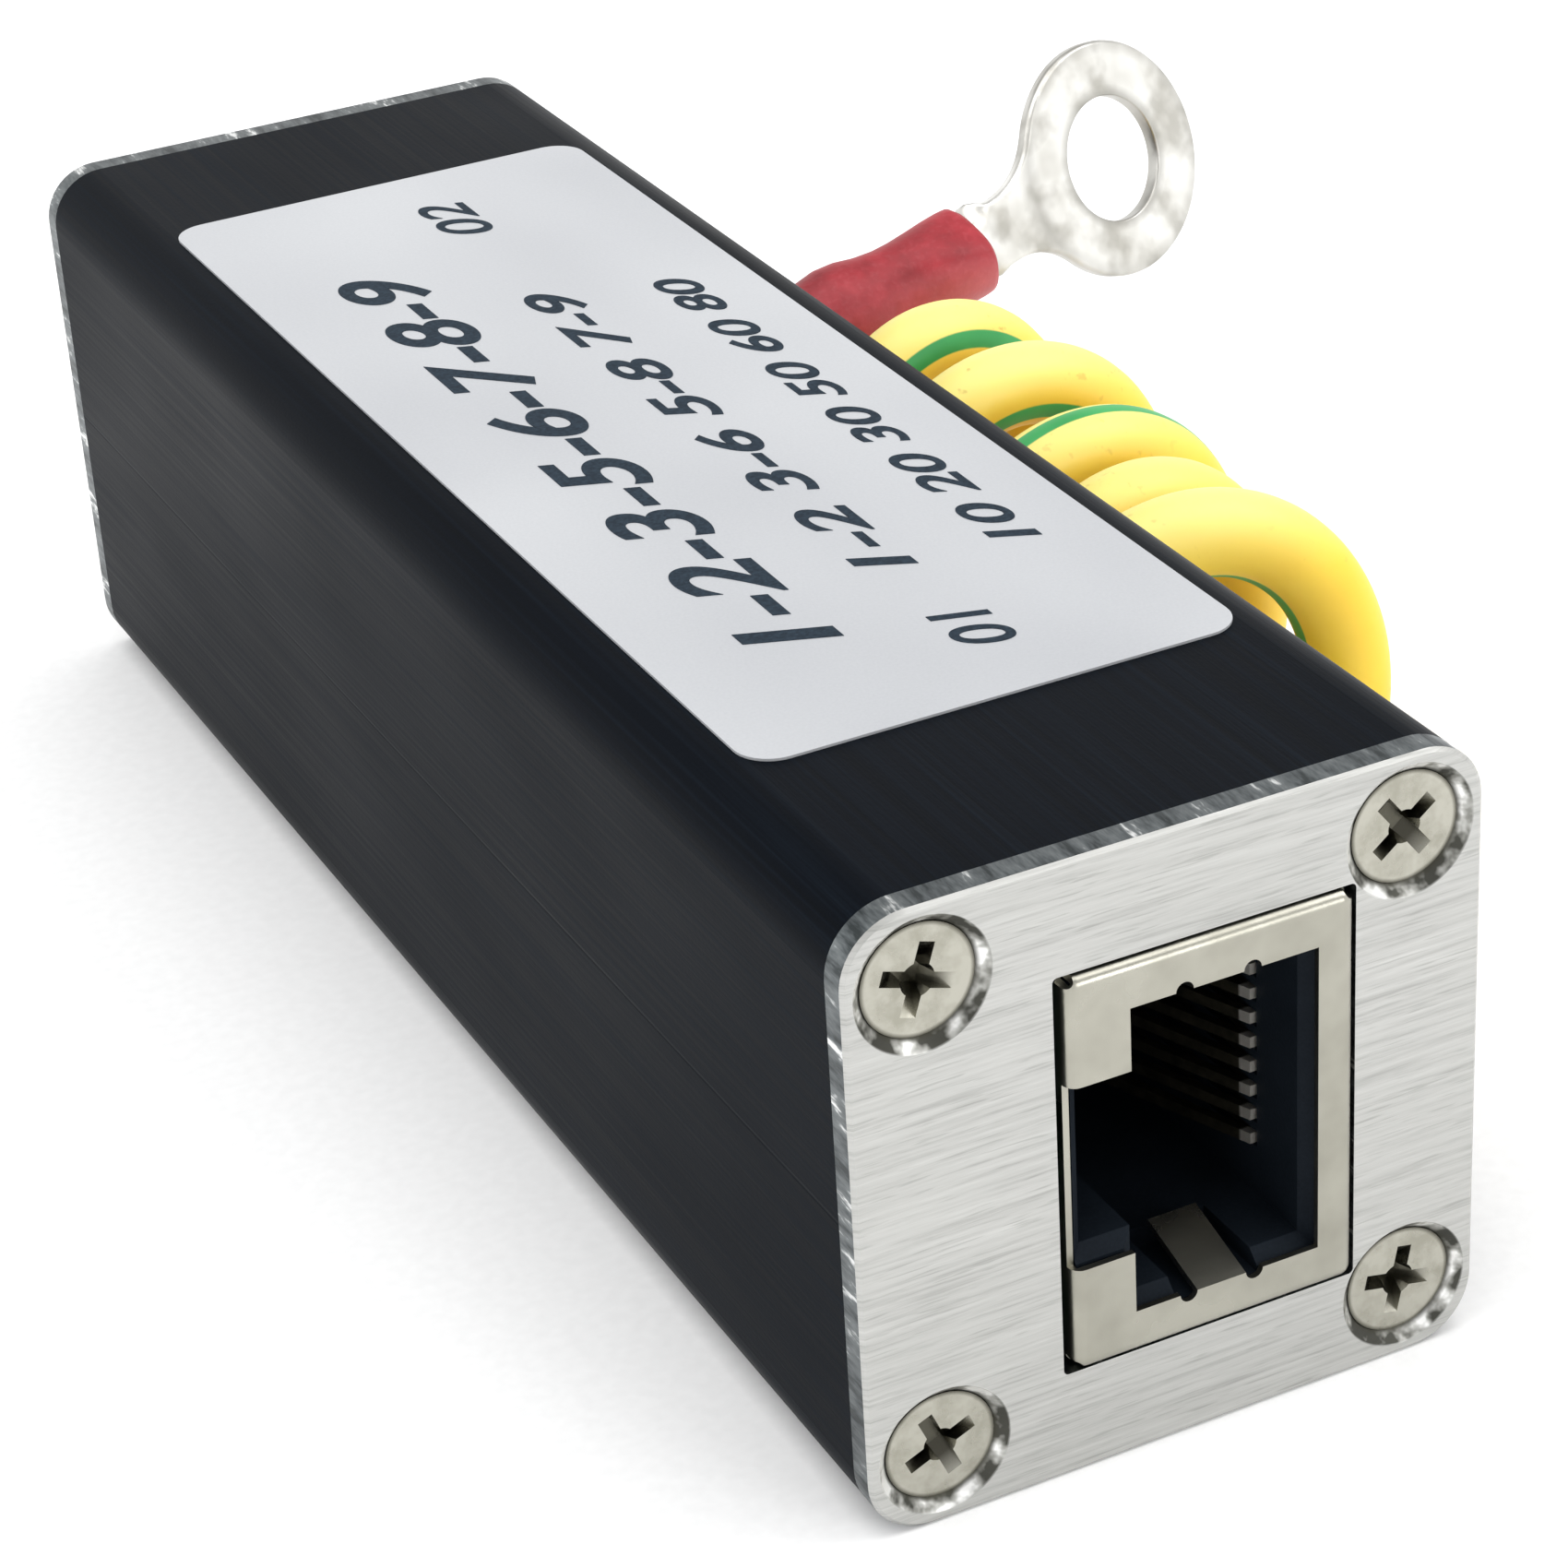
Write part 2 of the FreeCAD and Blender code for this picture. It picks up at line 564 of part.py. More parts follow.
def gas_leg_places(y, z):
    """The y and z of one gas tube's three legs."""
    reach = GAS_TUBE_LENGTH / 2 - GAS_CAP_WIDTH / 2
    return [(y, z - reach), (y, z), (y, z + reach)]


def gas_tube(y, z):
    """A three-electrode tube: ceramic between metal caps, ring in the middle, legs."""
    x = BOARD_FACE_X + GAS_STAND_OFF + GAS_RING_RADIUS
    half = GAS_TUBE_LENGTH / 2
    ceramic_radius = GAS_TUBE_RADIUS - GAS_CERAMIC_STEP
    ceramic = Part.makeCylinder(ceramic_radius, GAS_TUBE_LENGTH, V(x, y, z - half), V(0, 0, 1))
    low_cap = Part.makeCylinder(GAS_TUBE_RADIUS, GAS_CAP_WIDTH, V(x, y, z - half), V(0, 0, 1))
    high_cap = Part.makeCylinder(GAS_TUBE_RADIUS, GAS_CAP_WIDTH, V(x, y, z + half - GAS_CAP_WIDTH), V(0, 0, 1))
    ring = Part.makeCylinder(GAS_RING_RADIUS, GAS_RING_WIDTH, V(x, y, z - GAS_RING_WIDTH / 2), V(0, 0, 1))
    tail_x = BOARD_BACK_X - GAS_LEG_TAIL
    legs = [cylinder_x(GAS_LEG_RADIUS, ly, lz, tail_x, x) for ly, lz in gas_leg_places(y, z)]
    return fuse_all([ceramic, low_cap, high_cap, ring] + legs)


def diode_places():
    """The four surge diodes' y and z, past the gas tubes."""
    first = gas_tube_places()[-1][0] + GAS_RING_RADIUS + DIODE_ROW - DIODE_WIDTH / 2
    reach = (DIODE_LENGTH + DIODE_END_SPACE) / 2
    rows = (first, first + DIODE_ROW)
    return [(y, MID_Z + side * reach) for y in rows for side in (-1, 1)]


def surge_diode(y, z):
    """A moulded diode with a folded terminal at each end, lying on its pads."""
    half_l = DIODE_LENGTH / 2
    half_w = DIODE_WIDTH / 2
    x0 = BOARD_FACE_X + DIODE_STAND_OFF
    x1 = BOARD_FACE_X + DIODE_HEIGHT
    d = DIODE_DRAFT
    foot = [V(x0, y - half_w, z - half_l), V(x0, y + half_w, z - half_l),
            V(x0, y + half_w, z + half_l), V(x0, y - half_w, z + half_l)]
    head = [V(x1, y - half_w + d, z - half_l + d), V(x1, y + half_w - d, z - half_l + d),
            V(x1, y + half_w - d, z + half_l - d), V(x1, y - half_w + d, z + half_l - d)]
    body = Part.makeLoft(
        [Part.makePolygon(foot + [foot[0]]), Part.makePolygon(head + [head[0]])], True, True)
    wide = DIODE_TERMINAL_WIDTH / 2
    reach = half_l + DIODE_TERMINAL
    mid_x = BOARD_FACE_X + DIODE_HEIGHT / 2
    terminals = [
        box(BOARD_FACE_X, mid_x, y - wide, y + wide, z - reach, z - half_l + DIODE_TERMINAL_LAP),
        box(BOARD_FACE_X, mid_x, y - wide, y + wide, z + half_l - DIODE_TERMINAL_LAP, z + reach)]
    return fuse_all([body] + terminals)


def circuit_board():
    """The board, drilled for the sockets, the gas tubes and the earth lead."""
    board = box(BOARD_BACK_X, BOARD_FACE_X, -BOARD_HALF_LENGTH, BOARD_HALF_LENGTH, BOARD_LOW_Z, BOARD_HIGH_Z)
    x0, x1 = BOARD_BACK_X - 1, BOARD_FACE_X + 1
    socket_holes = []
    for z, back in pin_places():
        radius = math.hypot(CONTACT_THICKNESS, CONTACT_WIDTH) / 2 + PIN_HOLE_GAP
        socket_holes.append(cylinder_x(radius, JACK_FRONT_Y + back, z, x0, x1))
    leg_y = JACK_FRONT_Y + LEG_BACK - LEG_HOLE_GAP
    leg_y1 = leg_y + LEG_WIDTH + 2 * LEG_HOLE_GAP
    for z in (JACK_LOW_Z, JACK_HIGH_Z - SHEET):
        socket_holes.append(box(x0, x1, leg_y, leg_y1, z - LEG_HOLE_GAP, z + SHEET + LEG_HOLE_GAP))
    for side in (-1, 1):
        socket_holes.append(jack_peg(side, x1, PEG_RADIUS + PEG_HOLE_GAP))
    holes = socket_holes + [to_rear(hole) for hole in socket_holes]
    for y, z in gas_tube_places():
        for leg_y, leg_z in gas_leg_places(y, z):
            holes.append(cylinder_x(GAS_LEG_RADIUS + GAS_LEG_HOLE_GAP, leg_y, leg_z, x0, x1))
    holes.append(cylinder_x(CORE_RADIUS + CORE_HOLE_GAP, LEAD_Y, LEAD_Z, x0, x1))
    return board.cut(Part.makeCompound(holes))


def face_label():
    """The label on the top face, with rounded corners."""
    half_w, half_l = LABEL_WIDTH / 2, LABEL_LENGTH / 2
    sheet = box(-half_w, half_w, -half_l, half_l, TUBE_SIDE, TUBE_SIDE + LABEL_THICKNESS)
    edges = [e for e in sheet.Edges if abs(e.tangentAt(e.FirstParameter).z) > 0.99]
    return sheet.makeFillet(LABEL_RADIUS, edges)


def lead_grommet():
    """A rubber bush in the side wall, flanged on both faces."""
    wall_x = TUBE_SIDE / 2
    inner = INNER_HALF - GROMMET_FLANGE
    outer = wall_x + GROMMET_FLANGE
    bush = fuse_all([
        cylinder_x(GROMMET_FLANGE_RADIUS, LEAD_Y, LEAD_Z, inner, INNER_HALF),
        cylinder_x(GROMMET_NECK_RADIUS, LEAD_Y, LEAD_Z, inner, outer),
        cylinder_x(GROMMET_FLANGE_RADIUS, LEAD_Y, LEAD_Z, wall_x, outer)])
    return bush.cut(cylinder_x(LEAD_RADIUS + GROMMET_GAP, LEAD_Y, LEAD_Z, inner - 1, outer + 1))


def earth_lead_inner():
    """The lead's insulated stretch inside the box, from the grommet to the board."""
    start = BOARD_FACE_X + LEAD_STRIP_LENGTH
    return cylinder_x(LEAD_RADIUS, LEAD_Y, LEAD_Z, start, TUBE_SIDE / 2 + GROMMET_FLANGE)


def earth_lead_inner_core():
    """The bare strands that go through the board."""
    end = BOARD_FACE_X + LEAD_STRIP_LENGTH
    return cylinder_x(CORE_RADIUS, LEAD_Y, LEAD_Z, BOARD_BACK_X - LEAD_CORE_TAIL, end)


def earth_pad_solder():
    """The solder cone round the strands on the board's back."""
    cone = Part.makeCone(
        SOLDER_RADIUS, CORE_RADIUS + SOLDER_TIP_STEP, SOLDER_HEIGHT, V(BOARD_BACK_X, LEAD_Y, LEAD_Z), V(-1, 0, 0))
    core = cylinder_x(CORE_RADIUS, LEAD_Y, LEAD_Z, BOARD_BACK_X - 2 * SOLDER_HEIGHT, BOARD_BACK_X + 1)
    return cone.cut(core)


def smooth_path(points):
    """Straight runs joined by tangent arcs, each as large as its runs allow."""
    edges = []
    start = points[0]
    for i in range(1, len(points) - 1):
        back = points[i - 1] - points[i]
        ahead = points[i + 1] - points[i]
        shorter = min(back.Length, ahead.Length)
        half_turn = (math.pi - back.getAngle(ahead)) / 2
        trim = BEND_SHARE * shorter
        radius = trim / math.tan(half_turn)
        print("bend", i, "radius", round(radius, 2))
        back.normalize()
        ahead.normalize()
        enter, leave = points[i] + back * trim, points[i] + ahead * trim
        inward = back + ahead
        inward.normalize()
        middle = points[i] + inward * (radius / math.cos(half_turn) - radius)
        edges.append(Part.LineSegment(start, enter).toShape())
        edges.append(Part.Arc(enter, middle, leave).toShape())
        start = leave
    edges.append(Part.LineSegment(start, points[-1]).toShape())
    return Part.Wire(edges)


def tube_along(points, radius):
    """A round tube swept along the smoothed route."""
    path = smooth_path(points)
    heading = points[1] - points[0]
    ring = Part.Wire(Part.makeCircle(radius, points[0], heading))
    return path.makePipeShell([ring], True, True)


def unit(vector):
    """A copy of the vector with length one."""
    copy = V(vector)
    copy.normalize()
    return copy


def terminal_axes():
    """The ring terminal's tongue axis, ring normal and width axis."""
    along = unit(TONGUE_AXIS)
    normal = unit(RING_NORMAL - along * RING_NORMAL.dot(along))
    return along, normal, normal.cross(along)


def sleeve_axis():
    """The direction of the sleeve, which the neck's bend turns from the tongue's."""
    along, normal, _ = terminal_axes()
    bend = math.radians(NECK_BEND_DEG)
    return unit(along * math.cos(bend) + normal * math.sin(bend))


def bend_point():
    """Where the barrel's axis meets the tongue's."""
    return RING_CENTRE - terminal_axes()[0] * BEND_TO_RING


def sleeve_place(distance):
    """A point on the sleeve's axis, at a distance from its open end."""
    return bend_point() - sleeve_axis() * (SLEEVE_TO_BEND + SLEEVE_LENGTH - distance)


def sleeve_section(distance, half_width, half_height):
    """An oval across the sleeve, wide along the tongue's width."""
    axis = sleeve_axis()
    _, _, wide = terminal_axes()
    oval = Part.Ellipse(V(0, 0, 0), half_width, half_height)
    edge = oval.toShape()
    tall = axis.cross(wide)
    turn = FreeCAD.Matrix(
        wide.x, tall.x, axis.x, 0, wide.y, tall.y, axis.y, 0, wide.z, tall.z, axis.z, 0, 0, 0, 0, 1)
    edge = edge.transformGeometry(turn)
    edge.translate(sleeve_place(distance))
    return Part.Wire(edge)


def terminal_sleeve():
    """The insulating sleeve: round at its ends, squeezed at the crimp."""
    sections = [
        sleeve_section(share * SLEEVE_LENGTH, wide * SLEEVE_RADIUS, high * SLEEVE_RADIUS)
        for share, wide, high in SLEEVE_SECTIONS]
    sleeve = Part.makeLoft(sections, True)
    axis = sleeve_axis()
    mouth = Part.makeCylinder(
        LEAD_RADIUS + SLEEVE_BORE_GAP, SLEEVE_MOUTH_DEPTH + 1, sleeve_place(-1), axis)
    bore = Part.makeCylinder(
        BARREL_RADIUS + SLEEVE_BORE_GAP, SLEEVE_LENGTH + 2, sleeve_place(-1), axis)
    return sleeve.cut(mouth.fuse(bore))


def tongue():
    """The terminal's flat part: ring, flared neck and the tab to the barrel."""
    along, normal, wide = terminal_axes()
    base = RING_CENTRE - normal * (TERMINAL_SHEET / 2)
    ring = Part.makeCylinder(RING_RADIUS, TERMINAL_SHEET, base, normal)
    half = NECK_WIDTH / 2
    flare_half = math.sqrt(RING_RADIUS ** 2 - (NECK_FLARE / 2) ** 2)
    mid_distance = BEND_TO_RING - NECK_STRAIGHT

    def at(distance, side):
        return base - along * distance + wide * side

    left = Part.Arc(
        at(mid_distance, half), at((mid_distance + NECK_FLARE / 2) / 2, half + NECK_FLARE_BOW),
        at(NECK_FLARE / 2, flare_half)).toShape()
    right = Part.Arc(
        at(NECK_FLARE / 2, -flare_half), at((mid_distance + NECK_FLARE / 2) / 2, -half - NECK_FLARE_BOW),
        at(mid_distance, -half)).toShape()
    straight = [
        Part.LineSegment(at(NECK_FLARE / 2, flare_half), at(NECK_FLARE / 2, -flare_half)).toShape(),
        right,
        Part.LineSegment(at(mid_distance, -half), at(BEND_TO_RING, -half)).toShape(),
        Part.LineSegment(at(BEND_TO_RING, -half), at(BEND_TO_RING, half)).toShape(),
        Part.LineSegment(at(BEND_TO_RING, half), at(mid_distance, half)).toShape(),
        left]
    neck = Part.Face(Part.Wire(Part.__sortEdges__(straight))).extrude(normal * TERMINAL_SHEET)
    plate = fuse_all([ring, neck])
    hole = Part.makeCylinder(STUD_HOLE_RADIUS, 4 * TERMINAL_SHEET, base - normal, normal)
    return plate.cut(hole)


def barrel_transition():
    """The stretch where the round barrel opens out into the flat tongue."""
    along, normal, wide = terminal_axes()
    axis = sleeve_axis()
    start = sleeve_place(SLEEVE_LENGTH + BARREL_OUT)
    round_end = Part.Wire(Part.makeCircle(BARREL_RADIUS, start, axis))
    bend = bend_point()
    half_w, half_t = NECK_WIDTH / 2, TERMINAL_SHEET / 2
    corners = [
        bend + wide * half_w + normal * half_t, bend - wide * half_w + normal * half_t,
        bend - wide * half_w - normal * half_t, bend + wide * half_w - normal * half_t]
    flat_end = Part.makePolygon(corners + [corners[0]])
    return Part.makeLoft([round_end, flat_end], True, True)


def ring_terminal():
    """The terminal: barrel in the sleeve, neck and ring, stamped from one sheet."""
    axis = sleeve_axis()
    start = sleeve_place(SLEEVE_MOUTH_DEPTH)
    length = SLEEVE_LENGTH - SLEEVE_MOUTH_DEPTH + BARREL_OUT
    barrel = Part.makeCylinder(BARREL_RADIUS, length, start, axis)
    bore = Part.makeCylinder(CORE_RADIUS, length, start, axis)
    return fuse_all([barrel, barrel_transition(), tongue()]).cut(bore)


def earth_lead_core_end():
    """The strands crimped in the terminal's barrel."""
    length = SLEEVE_LENGTH - SLEEVE_MOUTH_DEPTH + BARREL_OUT
    return Part.makeCylinder(CORE_RADIUS, length, sleeve_place(SLEEVE_MOUTH_DEPTH), sleeve_axis())


def earth_lead_run():
    """The lead from the grommet to the middle line of the coil's first turn."""
    rise = LEAD_Z - COIL_Z - COIL_UPRIGHT / 2
    end_x = COIL_X - math.sqrt(COIL_RADIUS ** 2 - rise ** 2)
    return cylinder_x(LEAD_RADIUS, LEAD_Y, LEAD_Z, TUBE_SIDE / 2 + GROMMET_FLANGE, end_x)


def earth_lead_tail():
    """The lead from the coil's last turn into the sleeve."""
    route = TAIL_ROUTE + [sleeve_place(-2.0), sleeve_place(SLEEVE_MOUTH_DEPTH)]
    return tube_along(route, LEAD_RADIUS)


def coil_bar(radius, y0, y1):
    """A bar along Y about the coil's axis: two half rounds and the uprights between."""
    half = COIL_UPRIGHT / 2
    top, foot = COIL_Z + half, COIL_Z - half
    left, right = COIL_X - radius, COIL_X + radius
    outline = [
        Part.Arc(V(left, y0, top), V(COIL_X, y0, top + radius), V(right, y0, top)).toShape(),
        Part.LineSegment(V(right, y0, top), V(right, y0, foot)).toShape(),
        Part.Arc(V(right, y0, foot), V(COIL_X, y0, foot - radius), V(left, y0, foot)).toShape(),
        Part.LineSegment(V(left, y0, foot), V(left, y0, top)).toShape(),
    ]
    return Part.Face(Part.Wire(outline)).extrude(V(0, y1 - y0, 0))


def earth_lead_coil(neighbours):
    """The coil's outer shape: a tube with leaning ends, open at its middle."""
    outer = COIL_RADIUS + LEAD_RADIUS
    front_y = COIL_FIRST_TOP_Y - LEAD_RADIUS
    y0 = front_y - 2 * COIL_FRONT_LEAN
    top_y = COIL_LAST_TOP_Y + LEAD_RADIUS
    low_y = top_y + COIL_END_LEAN
    past_y = low_y + 2 * COIL_END_LEAN
    full = coil_bar(outer, y0, low_y)
    middle = coil_bar(COIL_RADIUS - LEAD_RADIUS, y0 - LEAD_RADIUS, past_y)
    height = 2 * COIL_Z
    lean = prism([V(0, top_y, height), V(0, past_y, height), V(0, past_y, 0), V(0, low_y, 0)], V(2 * COIL_X, 0, 0))
    left, right = COIL_X - outer, COIL_X + outer
    front_lean = prism([
        V(left, front_y + COIL_FRONT_LEAN, 0), V(right, front_y - COIL_FRONT_LEAN, 0),
        V(right, y0 - 1, 0), V(left, y0 - 1, 0)], V(0, 0, height))
    coil = full.cut(middle).cut(lean).cut(front_lean)
    for piece in neighbours:
        coil = coil.cut(piece)
    return coil


def grommet_room():
    """The space that the coil leaves round the grommet's outer flange."""
    x1 = TUBE_SIDE / 2 + GROMMET_FLANGE + GROMMET_ROOM
    return cylinder_x(GROMMET_FLANGE_RADIUS + GROMMET_ROOM, LEAD_Y, LEAD_Z, TUBE_SIDE / 2, x1)


def build():
    """Every piece by its node's name."""
    parts = {"housing_tube": housing_tube()}
    contacts = front_jack_contacts()
    front_end = {
        "end_plate": front_end_plate(),
        "plate_screws": front_plate_screws(),
        "jack_shield": front_jack_shield(),
        "jack_body": front_jack_body(),
        "jack_contact_carrier": front_jack_contact_carrier(contacts),
    }
    for i, contact in enumerate(contacts, 1):
        front_end["jack_contact_%d" % i] = contact
    for name, shape in front_end.items():
        parts["front_" + name] = shape
        parts["rear_" + name] = to_rear(shape)
    parts["circuit_board"] = circuit_board()
    for i, (y, z) in enumerate(gas_tube_places(), 1):
        parts["gas_tube_%d" % i] = gas_tube(y, z)
    for i, (y, z) in enumerate(diode_places(), 1):
        parts["surge_diode_%d" % i] = surge_diode(y, z)
    parts["face_label"] = face_label()
    parts["lead_grommet"] = lead_grommet()
    parts["earth_lead_inner"] = earth_lead_inner()
    parts["earth_lead_inner_core"] = earth_lead_inner_core()
    parts["earth_pad_solder"] = earth_pad_solder()
    parts["earth_lead_run"] = earth_lead_run()
    parts["earth_lead_tail"] = earth_lead_tail()
    parts["earth_lead_coil"] = earth_lead_coil(
        [parts["earth_lead_run"], parts["earth_lead_tail"], grommet_room()])
    parts["earth_lead_core_end"] = earth_lead_core_end()
    parts["terminal_sleeve"] = terminal_sleeve()
    parts["ring_terminal"] = ring_terminal()
    return parts


os.makedirs("parts", exist_ok=True)
for node, shape in build().items():
    shape.exportStep("parts/%s.step" % node)
    print(node, "solids", len(shape.Solids), "valid", shape.isValid(), "volume", round(shape.Volume, 2))
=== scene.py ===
"""Looks of an inline network surge protector: finishes, print, earth lead and studio.

All places are in the row frame, in metres. +Z is up, +Y runs from the line socket to the
equipment socket, and +X is the side that the earth lead leaves.
"""
from __future__ import annotations

import json
import logging
import math
from dataclasses import dataclass, field
from enum import Enum
from typing import Iterable, Sequence

import bmesh
import bpy
import numpy as np
from mathutils import Matrix, Vector


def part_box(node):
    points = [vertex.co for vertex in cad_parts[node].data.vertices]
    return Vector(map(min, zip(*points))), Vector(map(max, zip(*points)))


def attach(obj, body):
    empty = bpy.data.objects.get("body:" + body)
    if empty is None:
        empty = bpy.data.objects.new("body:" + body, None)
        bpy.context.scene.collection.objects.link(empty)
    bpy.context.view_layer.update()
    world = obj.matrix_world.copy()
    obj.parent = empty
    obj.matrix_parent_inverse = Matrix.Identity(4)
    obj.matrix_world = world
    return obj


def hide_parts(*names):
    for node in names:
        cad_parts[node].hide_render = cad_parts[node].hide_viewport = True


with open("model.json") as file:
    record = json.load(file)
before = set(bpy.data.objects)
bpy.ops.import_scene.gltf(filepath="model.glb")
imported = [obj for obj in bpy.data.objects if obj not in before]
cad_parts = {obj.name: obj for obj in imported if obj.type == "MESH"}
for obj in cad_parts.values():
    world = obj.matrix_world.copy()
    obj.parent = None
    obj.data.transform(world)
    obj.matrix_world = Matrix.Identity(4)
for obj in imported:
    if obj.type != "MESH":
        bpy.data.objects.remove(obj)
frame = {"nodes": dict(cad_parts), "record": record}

MM = 0.001
BODY = "root"
ENDS = ("front", "rear")
LOG = logging.getLogger("surge_protector")

SCREW_INSET = 3.0 * MM
STRIPE_MAP = "around"
ROUNDING_STEPS = 3
SHARP_DEGREES = 40.0

Key = str | int
Node = bpy.types.Node
Tree = bpy.types.NodeTree
Points = list[Vector]
Size = float | tuple[float, float, float]
Stops = Sequence[tuple[float, str]]


def linear(hex_colour: str) -> tuple[float, float, float, float]:
    """Turns an sRGB hex colour into linear RGBA.

    Args:
        hex_colour: six hex digits after a hash sign.

    Returns:
        Red, green, blue and an alpha of one, in linear light.
    """
    parts = [int(hex_colour[i:i + 2], 16) / 255 for i in (1, 3, 5)]
    lit = [c / 12.92 if c <= 0.04045 else ((c + 0.055) / 1.055) ** 2.4 for c in parts]
    return lit[0], lit[1], lit[2], 1.0


def add_node(
    tree: Tree,
    kind: str,
    inputs: dict[Key, object] | None = None,
    stops: Stops = (),
    **settings: object,
) -> Node:
    """Adds a node with its settings, values and links.

    Args:
        tree: the node tree to add to.
        kind: the node's type name.
        inputs: for each input's name or number, a value, or a node or output to link.
        stops: a colour ramp's positions and sRGB hex colours, in order.
        settings: properties of the node itself.

    Returns:
        The new node.
    """
    node = tree.nodes.new(kind)
    for name, value in settings.items():
        setattr(node, name, value)
    for key, value in (inputs or {}).items():
        if isinstance(value, bpy.types.Node):
            value = next(s for s in value.outputs if s.enabled)
        if isinstance(value, bpy.types.NodeSocket):
            tree.links.new(value, node.inputs[key])
        else:
            node.inputs[key].default_value = value
    for i, (position, colour) in enumerate(stops):
        elements = node.color_ramp.elements
        stop = elements[i] if i < 2 else elements.new(position)
        stop.position = position
        stop.color = linear(colour)
    return node


def pattern_space(tree: Tree, size: Size = 1.0) -> Node:
    """Object coordinates in which one unit is a real size.

    Args:
        tree: the node tree to add to.
        size: millimetres for one unit, alike on every axis or one each for X, Y and Z.

    Returns:
        The node that gives the coordinates.
    """
    sizes = size if isinstance(size, tuple) else (size, size, size)
    scale = tuple(1 / (axis * MM) for axis in sizes)
    place = add_node(tree, "ShaderNodeTexCoord")
    return add_node(tree, "ShaderNodeMapping", {"Vector": place.outputs["Object"], "Scale": scale})


def screw_distance(tree: Tree) -> Node:
    """Millimetres from the nearest plate screw's axis; the four stand alike about the middle.

    Args:
        tree: the node tree to add to.

    Returns:
        The node that gives the distance.
    """
    low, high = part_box("front_end_plate")
    middle = (low + high) / 2
    reach = (high - middle) - Vector((SCREW_INSET, 0.0, SCREW_INSET))
    axis_line = (middle.x / MM, 0.0, middle.z / MM)
    screw = (reach.x / MM, 0.0, reach.z / MM)
    place = pattern_space(tree)
    centred = add_node(tree, "ShaderNodeVectorMath", {0: place, 1: axis_line}, operation="SUBTRACT")
    folded = add_node(tree, "ShaderNodeVectorMath", {0: centred}, operation="ABSOLUTE")
    off = add_node(tree, "ShaderNodeVectorMath", {0: folded, 1: screw}, operation="SUBTRACT")
    flat = add_node(tree, "ShaderNodeVectorMath", {0: off, 1: (1.0, 0.0, 1.0)}, operation="MULTIPLY")
    return add_node(tree, "ShaderNodeVectorMath", {0: flat}, operation="LENGTH")


def stud_hole() -> dict[str, object]:
    """Returns the mount of the ring terminal's hole."""
    return next(m for m in frame["record"]["mounts"] if m["name"] == "earth_stud_hole")


@dataclass(frozen=True)
class Finish:
    """A named surface finish."""

    name: str
    roughness: float = 0.5
    ior: float = 1.5

    def material(self) -> bpy.types.Material:
        """Finds the finish's material, or makes it at its first use.

        Returns:
            The material.
        """
        found = bpy.data.materials.get(self.name)
        if found is not None:
            return found
        material = bpy.data.materials.new(self.name)
        material.use_nodes = True
        tree = material.node_tree
        tree.nodes.clear()
        add_node(tree, "ShaderNodeOutputMaterial", {"Surface": self.shader(tree)})
        return material

    def shader(self, tree: Tree) -> Node:
        """Builds the surface; each finish has its own.

        Args:
            tree: the material's nodes.

        Returns:
            The surface shader.
        """
        raise NotImplementedError(self.name)


@dataclass(frozen=True)
class BlackAnodising(Finish):
    """Extruded aluminium, etched and black anodised."""

    # The dye makes it a blue-black; the etched die lines run along the tube, and the
    # sealed oxide gives a satin sheen that is strongest at a low angle. The etch's grain is
    # coarser than the real one, so that it shows. Sizes of every finish are in millimetres.
    line_size: Size = (0.22, 30.0, 0.22)
    cloud_size: Size = (9.0, 22.0, 9.0)
    grain_size: Size = (0.12, 0.25, 0.12)
    seam_height: float = 12.9
    seam_half_width: float = 0.1

    def shader(self, tree: Tree) -> Node:
        """Die lines along Y, a faint die seam on the sides, and the etch's fine grain.

        Args:
            tree: the material's nodes.

        Returns:
            The surface shader.
        """
        lines = add_node(tree, "ShaderNodeTexNoise", {
            "Vector": pattern_space(tree, self.line_size),
            "Scale": 1.0, "Detail": 4.0, "Roughness": 0.65})
        cloud = add_node(tree, "ShaderNodeTexNoise", {
            "Vector": pattern_space(tree, self.cloud_size), "Scale": 1.0, "Detail": 2.0})
        grain = add_node(tree, "ShaderNodeTexNoise", {
            "Vector": pattern_space(tree, self.grain_size), "Scale": 1.0, "Detail": 1.0})
        colour = add_node(tree, "ShaderNodeValToRGB", {"Fac": lines}, [
            (0.3, "#05080c"), (0.5, "#070b11"), (0.75, "#0f151c")])
        satin = add_node(tree, "ShaderNodeMapRange", {
            "Value": cloud, "From Min": 0.3, "From Max": 0.7,
            "To Min": self.roughness - 0.04, "To Max": self.roughness + 0.04})
        streaky = add_node(tree, "ShaderNodeMath", {0: lines, 1: 0.25, 2: satin}, operation="MULTIPLY_ADD")
        height = add_node(tree, "ShaderNodeSeparateXYZ", {0: pattern_space(tree)})
        off = add_node(tree, "ShaderNodeMath", {0: height.outputs["Z"], 1: self.seam_height},
                       operation="SUBTRACT")
        near = add_node(tree, "ShaderNodeMath", {0: off}, operation="ABSOLUTE")
        seam = add_node(tree, "ShaderNodeMapRange", {
            "Value": near, "From Min": 0.0, "From Max": self.seam_half_width,
            "To Min": -1.5, "To Max": 0.0})
        etched = add_node(tree, "ShaderNodeMath", {0: grain, 1: 0.3, 2: lines}, operation="MULTIPLY_ADD")
        relief = add_node(tree, "ShaderNodeMath", {0: etched, 1: seam}, operation="ADD")
        bump = add_node(tree, "ShaderNodeBump", {"Height": relief, "Distance": 0.01 * MM})
        return add_node(tree, "ShaderNodeBsdfPrincipled", {
            "Base Color": colour, "Roughness": streaky, "IOR": self.ior, "Normal": bump,
            "Specular Tint": linear("#b4cade")})


